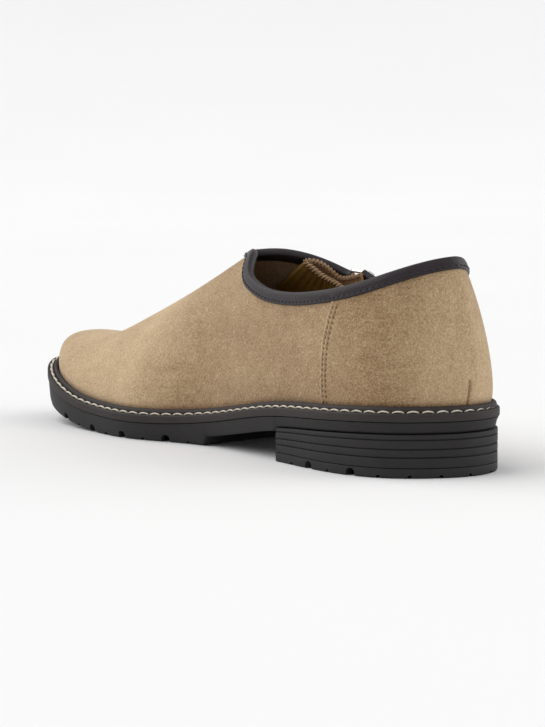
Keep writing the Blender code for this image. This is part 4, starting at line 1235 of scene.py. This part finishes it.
# top: station, height; bottom: station, height; depth in from the wall's outer face
TONGUE = np.array([
    (0.698, 0.919, 0.708, 0.591, 0.0046), (0.724, 0.906, 0.744, 0.580, 0.0046),
    (0.756, 0.897, 0.794, 0.580, 0.0046), (0.788, 0.895, 0.847, 0.591, 0.0046),
    (0.809, 0.919, 0.919, 0.607, 0.0046), (0.827, 0.958, 0.985, 0.635, 0.0046),
    (0.850, 0.988, 1.058, 0.678, 0.0048), (0.868, 1.001, 1.118, 0.733, 0.0060),
    (0.865, 1.010, 1.111, 0.744, 0.0085), (0.845, 0.996, 1.058, 0.722, 0.0105),
    (0.823, 0.972, 1.005, 0.700, 0.0120), (0.793, 0.950, 0.946, 0.678, 0.0132),
    (0.753, 0.927, 0.886, 0.667, 0.0145), (0.719, 0.895, 0.833, 0.656, 0.0155),
])


def slab(name, outer, inner, two_faced=False):
    """A closed sheet between two grids of points of the same size; if it is two-faced, the
    outer grid has the second material."""
    rows, columns = outer.shape[:2]
    size = rows * columns
    around = np.concatenate([
        np.arange(columns), np.arange(1, rows) * columns + columns - 1,
        (rows - 1) * columns + np.arange(columns - 2, -1, -1), np.arange(rows - 2, 0, -1) * columns,
    ])
    after = np.roll(around, -1)
    rim = np.stack([around, after, after + size, around + size], axis=1)
    faces = np.concatenate([quads(rows, columns), quads(rows, columns, start=size), rim])
    squares = (rows - 1) * (columns - 1)
    marks = np.repeat([1, 0, 0], [squares, squares, len(rim)])
    points = np.concatenate([outer.reshape(-1, 3), inner.reshape(-1, 3)])
    return mesh_from(name, points, faces, finish=marks if two_faced else None)


def refine(table, count):
    """A table drawn out to `count` rows along a smooth curve through its rows."""
    place = np.arange(len(table))
    return spline(place, table, np.linspace(0, len(table) - 1, count))


# %% The tongue
def tongue_sheet():
    leaf = refine(TONGUE, 140)
    top, bottom = leaf[:, None, 0:2], leaf[:, None, 2:4]
    level = np.linspace(0, 1, 40)[None, :, None]
    place = (bottom + (top - bottom) * level) * (THROAT_AT, THROAT_HEIGHT)
    wall_points, out = on_upper(-1, place[..., 0], place[..., 1])
    sheet = wall_points - out * leaf[:, None, 4:5]
    across = np.cross(np.gradient(sheet, axis=0), np.gradient(sheet, axis=1))
    across /= np.linalg.norm(across, axis=-1, keepdims=True)
    return sheet, across


sheet, across = tongue_sheet()
waver = 1 + 0.12 * np.sin(np.arange(140) * 0.9)[:, None, None]
half = TONGUE_THICKNESS / 2 * waver
tongue = slab("tongue", sheet + across * half, sheet - across * half, True)
piece("gusset_tongue", tongue, [SUEDE_EDGE, LINING], "tongue", slot="suede", sharp=50)
hem = sheet[:, -1] - (sheet[:, -1] - sheet[:, -3]) * 0.2
HEM_PITCH = 0.0019
hem_rows = []
for sense in (1, -1):
    away = across[:, -1] * sense
    hem_rows.append(stitches(
        hem + away * 0.0009, away, pitch=HEM_PITCH, length=0.0021, width=0.0009, height=0.0006,
        closed=False, slant=0.0006 * sense,
    ))
over_edge = sheet[:, -1] - sheet[:, -2]
hem_rows.append(stitches(
    sheet[:, -1], over_edge, pitch=HEM_PITCH, length=0.0016, width=0.0022, height=0.0006, closed=False,
))
piece("tongue_stitches", thread_mesh("tongue_stitches", hem_rows), TAN_THREAD)


# %% The strap
def strap_height(rise):
    """Height of the strap's middle: it climbs as the top edge does, STRAP_DROP under it."""
    return ANKLE_HEIGHT - STRAP_DROP + rise * (THROAT_HEIGHT - ANKLE_HEIGHT)


def strap_sheet(table, shares):
    across = shares[None, :] * STRAP_WIDTH * table[:, 2:3]
    x = table[:, 0:1] * THROAT_AT - 0.15 * across
    return on_upper(-1, x, strap_height(table[:, 1])[:, None] + across)


UNDER = 1.5 * CLEARANCE
points, out = strap_sheet(refine(STRAP, 90), np.linspace(-0.5, 0.5, 25))
crown = 1 - 0.45 * abs(np.linspace(-1, 1, 25))[None, :, None] ** 6
strap = slab("strap", points + out * (UNDER + STRAP_THICKNESS * crown), points + out * UNDER)
# The strap gets the same painted shade.
store_painted_shade(strap)
piece("strap_suede", strap, SUEDE, "strap", slot="suede", sharp=50)
strap_rows = []
for share in (-0.38, 0.38):
    line, away = strap_sheet(refine(STRAP, 90), np.array([share]))
    line = line[:, 0] + away[:, 0] * (UNDER + STRAP_THICKNESS)
    strap_rows.append(stitches(
        line, away[:, 0], pitch=0.0026, length=0.0020, width=0.0005, height=0.0004, closed=False,
    ))
piece("strap_stitches", thread_mesh("strap_stitches", strap_rows), BROWN_THREAD)

for node in ("buckle_frame", "buckle_prong"):
    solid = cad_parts[node]
    solid.data.materials.clear()
    solid.data.materials.append(METAL)


# %% [markdown]
# ## Photograph
# The camera stands where the photo's camera stood, low behind the inner side. The light is
# one large soft source from the toe's side, a weak one on the heel's edge and an even
# surround. A sun with a wide angle casts soft shadows without any lamp to place.

# %% Floor, camera and light
AZIMUTH = math.radians(231.0)
ELEVATION = math.radians(5.986)
CAMERA_DISTANCE = 1.27912
CAMERA_LENS = 132.81
SWEEP_FLAT = 2.5
SWEEP_CURVE = 0.12


def sweep_mesh():
    """A sheet of paper that lies under the shoe and curves up far behind it, level as far
    as SWEEP_FLAT. It is laid along the camera's azimuth, rounded to four places."""
    run = np.linspace(-3.5, 6.0, 60)
    rise = np.where(run > SWEEP_FLAT, (run - SWEEP_FLAT) ** 2 * SWEEP_CURVE, 0.0)
    wide = np.linspace(-6, 6, 12)
    away = np.array([0.7772, -0.6293])
    aside = np.array([-0.6293, -0.7772])
    plan = run[:, None, None] * away + wide[None, :, None] * aside
    points = np.concatenate([plan, np.broadcast_to(rise[:, None, None], (60, 12, 1))], axis=-1)
    mesh = bpy.data.meshes.new("sweep")
    mesh.from_pydata(points.reshape(-1, 3).tolist(), [], quads(60, 12, flip=True).tolist())
    mesh.shade_smooth()
    return mesh


floor = bpy.data.objects.new("studio_sweep", sweep_mesh())
bpy.context.scene.collection.objects.link(floor)
paper = Finish("studio_paper", Roughness=0.9)
mottle = paper.noise(0.3, 2.0).ramp(0.3, 0.7)
paper.feed("Base Color", mottle.mix((0.835, 0.835, 0.835), (0.845, 0.845, 0.845)))
floor.data.materials.append(paper.material)

back = np.array([
    math.sin(AZIMUTH) * math.cos(ELEVATION), -math.cos(AZIMUTH) * math.cos(ELEVATION), math.sin(ELEVATION),
])
right = np.array([math.cos(AZIMUTH), math.sin(AZIMUTH), 0.0])
up = np.cross(back, right)
target = np.array([0.0, 0.0068, 0.040]) + right * 0.0060 - up * 0.0027
camera = bpy.data.cameras.new("photo_camera")
camera.lens = CAMERA_LENS
camera.clip_start = 0.05
eye = bpy.data.objects.new("photo_camera", camera)
bpy.context.scene.collection.objects.link(eye)
turn = np.column_stack([right, up, back])
place = target + back * CAMERA_DISTANCE
eye.matrix_world = mathutils.Matrix([[*turn[i], place[i]] for i in range(3)] + [[0, 0, 0, 1]])
bpy.context.scene.camera = eye


def soft_sun(name, toward, strength, spread):
    """A sun whose rays come from `toward`, spread over an angle in degrees."""
    lamp = bpy.data.lights.new(name, "SUN")
    lamp.energy = strength
    lamp.angle = math.radians(spread)
    obj = bpy.data.objects.new(name, lamp)
    obj.rotation_euler = mathutils.Vector(toward).to_track_quat("Z", "Y").to_euler()
    bpy.context.scene.collection.objects.link(obj)


soft_sun("key_light", -0.9 * right - 0.15 * back + np.array((0, 0, 1.0)), 1.95, 70)
soft_sun("edge_light", right - 0.1 * back + np.array((0, 0, 0.5)), 1.2, 60)
world = bpy.data.worlds.new("studio")
world.use_nodes = True
world.node_tree.nodes["Background"].inputs["Color"].default_value = (1, 1, 1, 1)
world.node_tree.nodes["Background"].inputs["Strength"].default_value = 0.52
bpy.context.scene.world = world
bpy.context.scene.view_settings.view_transform = "Standard"
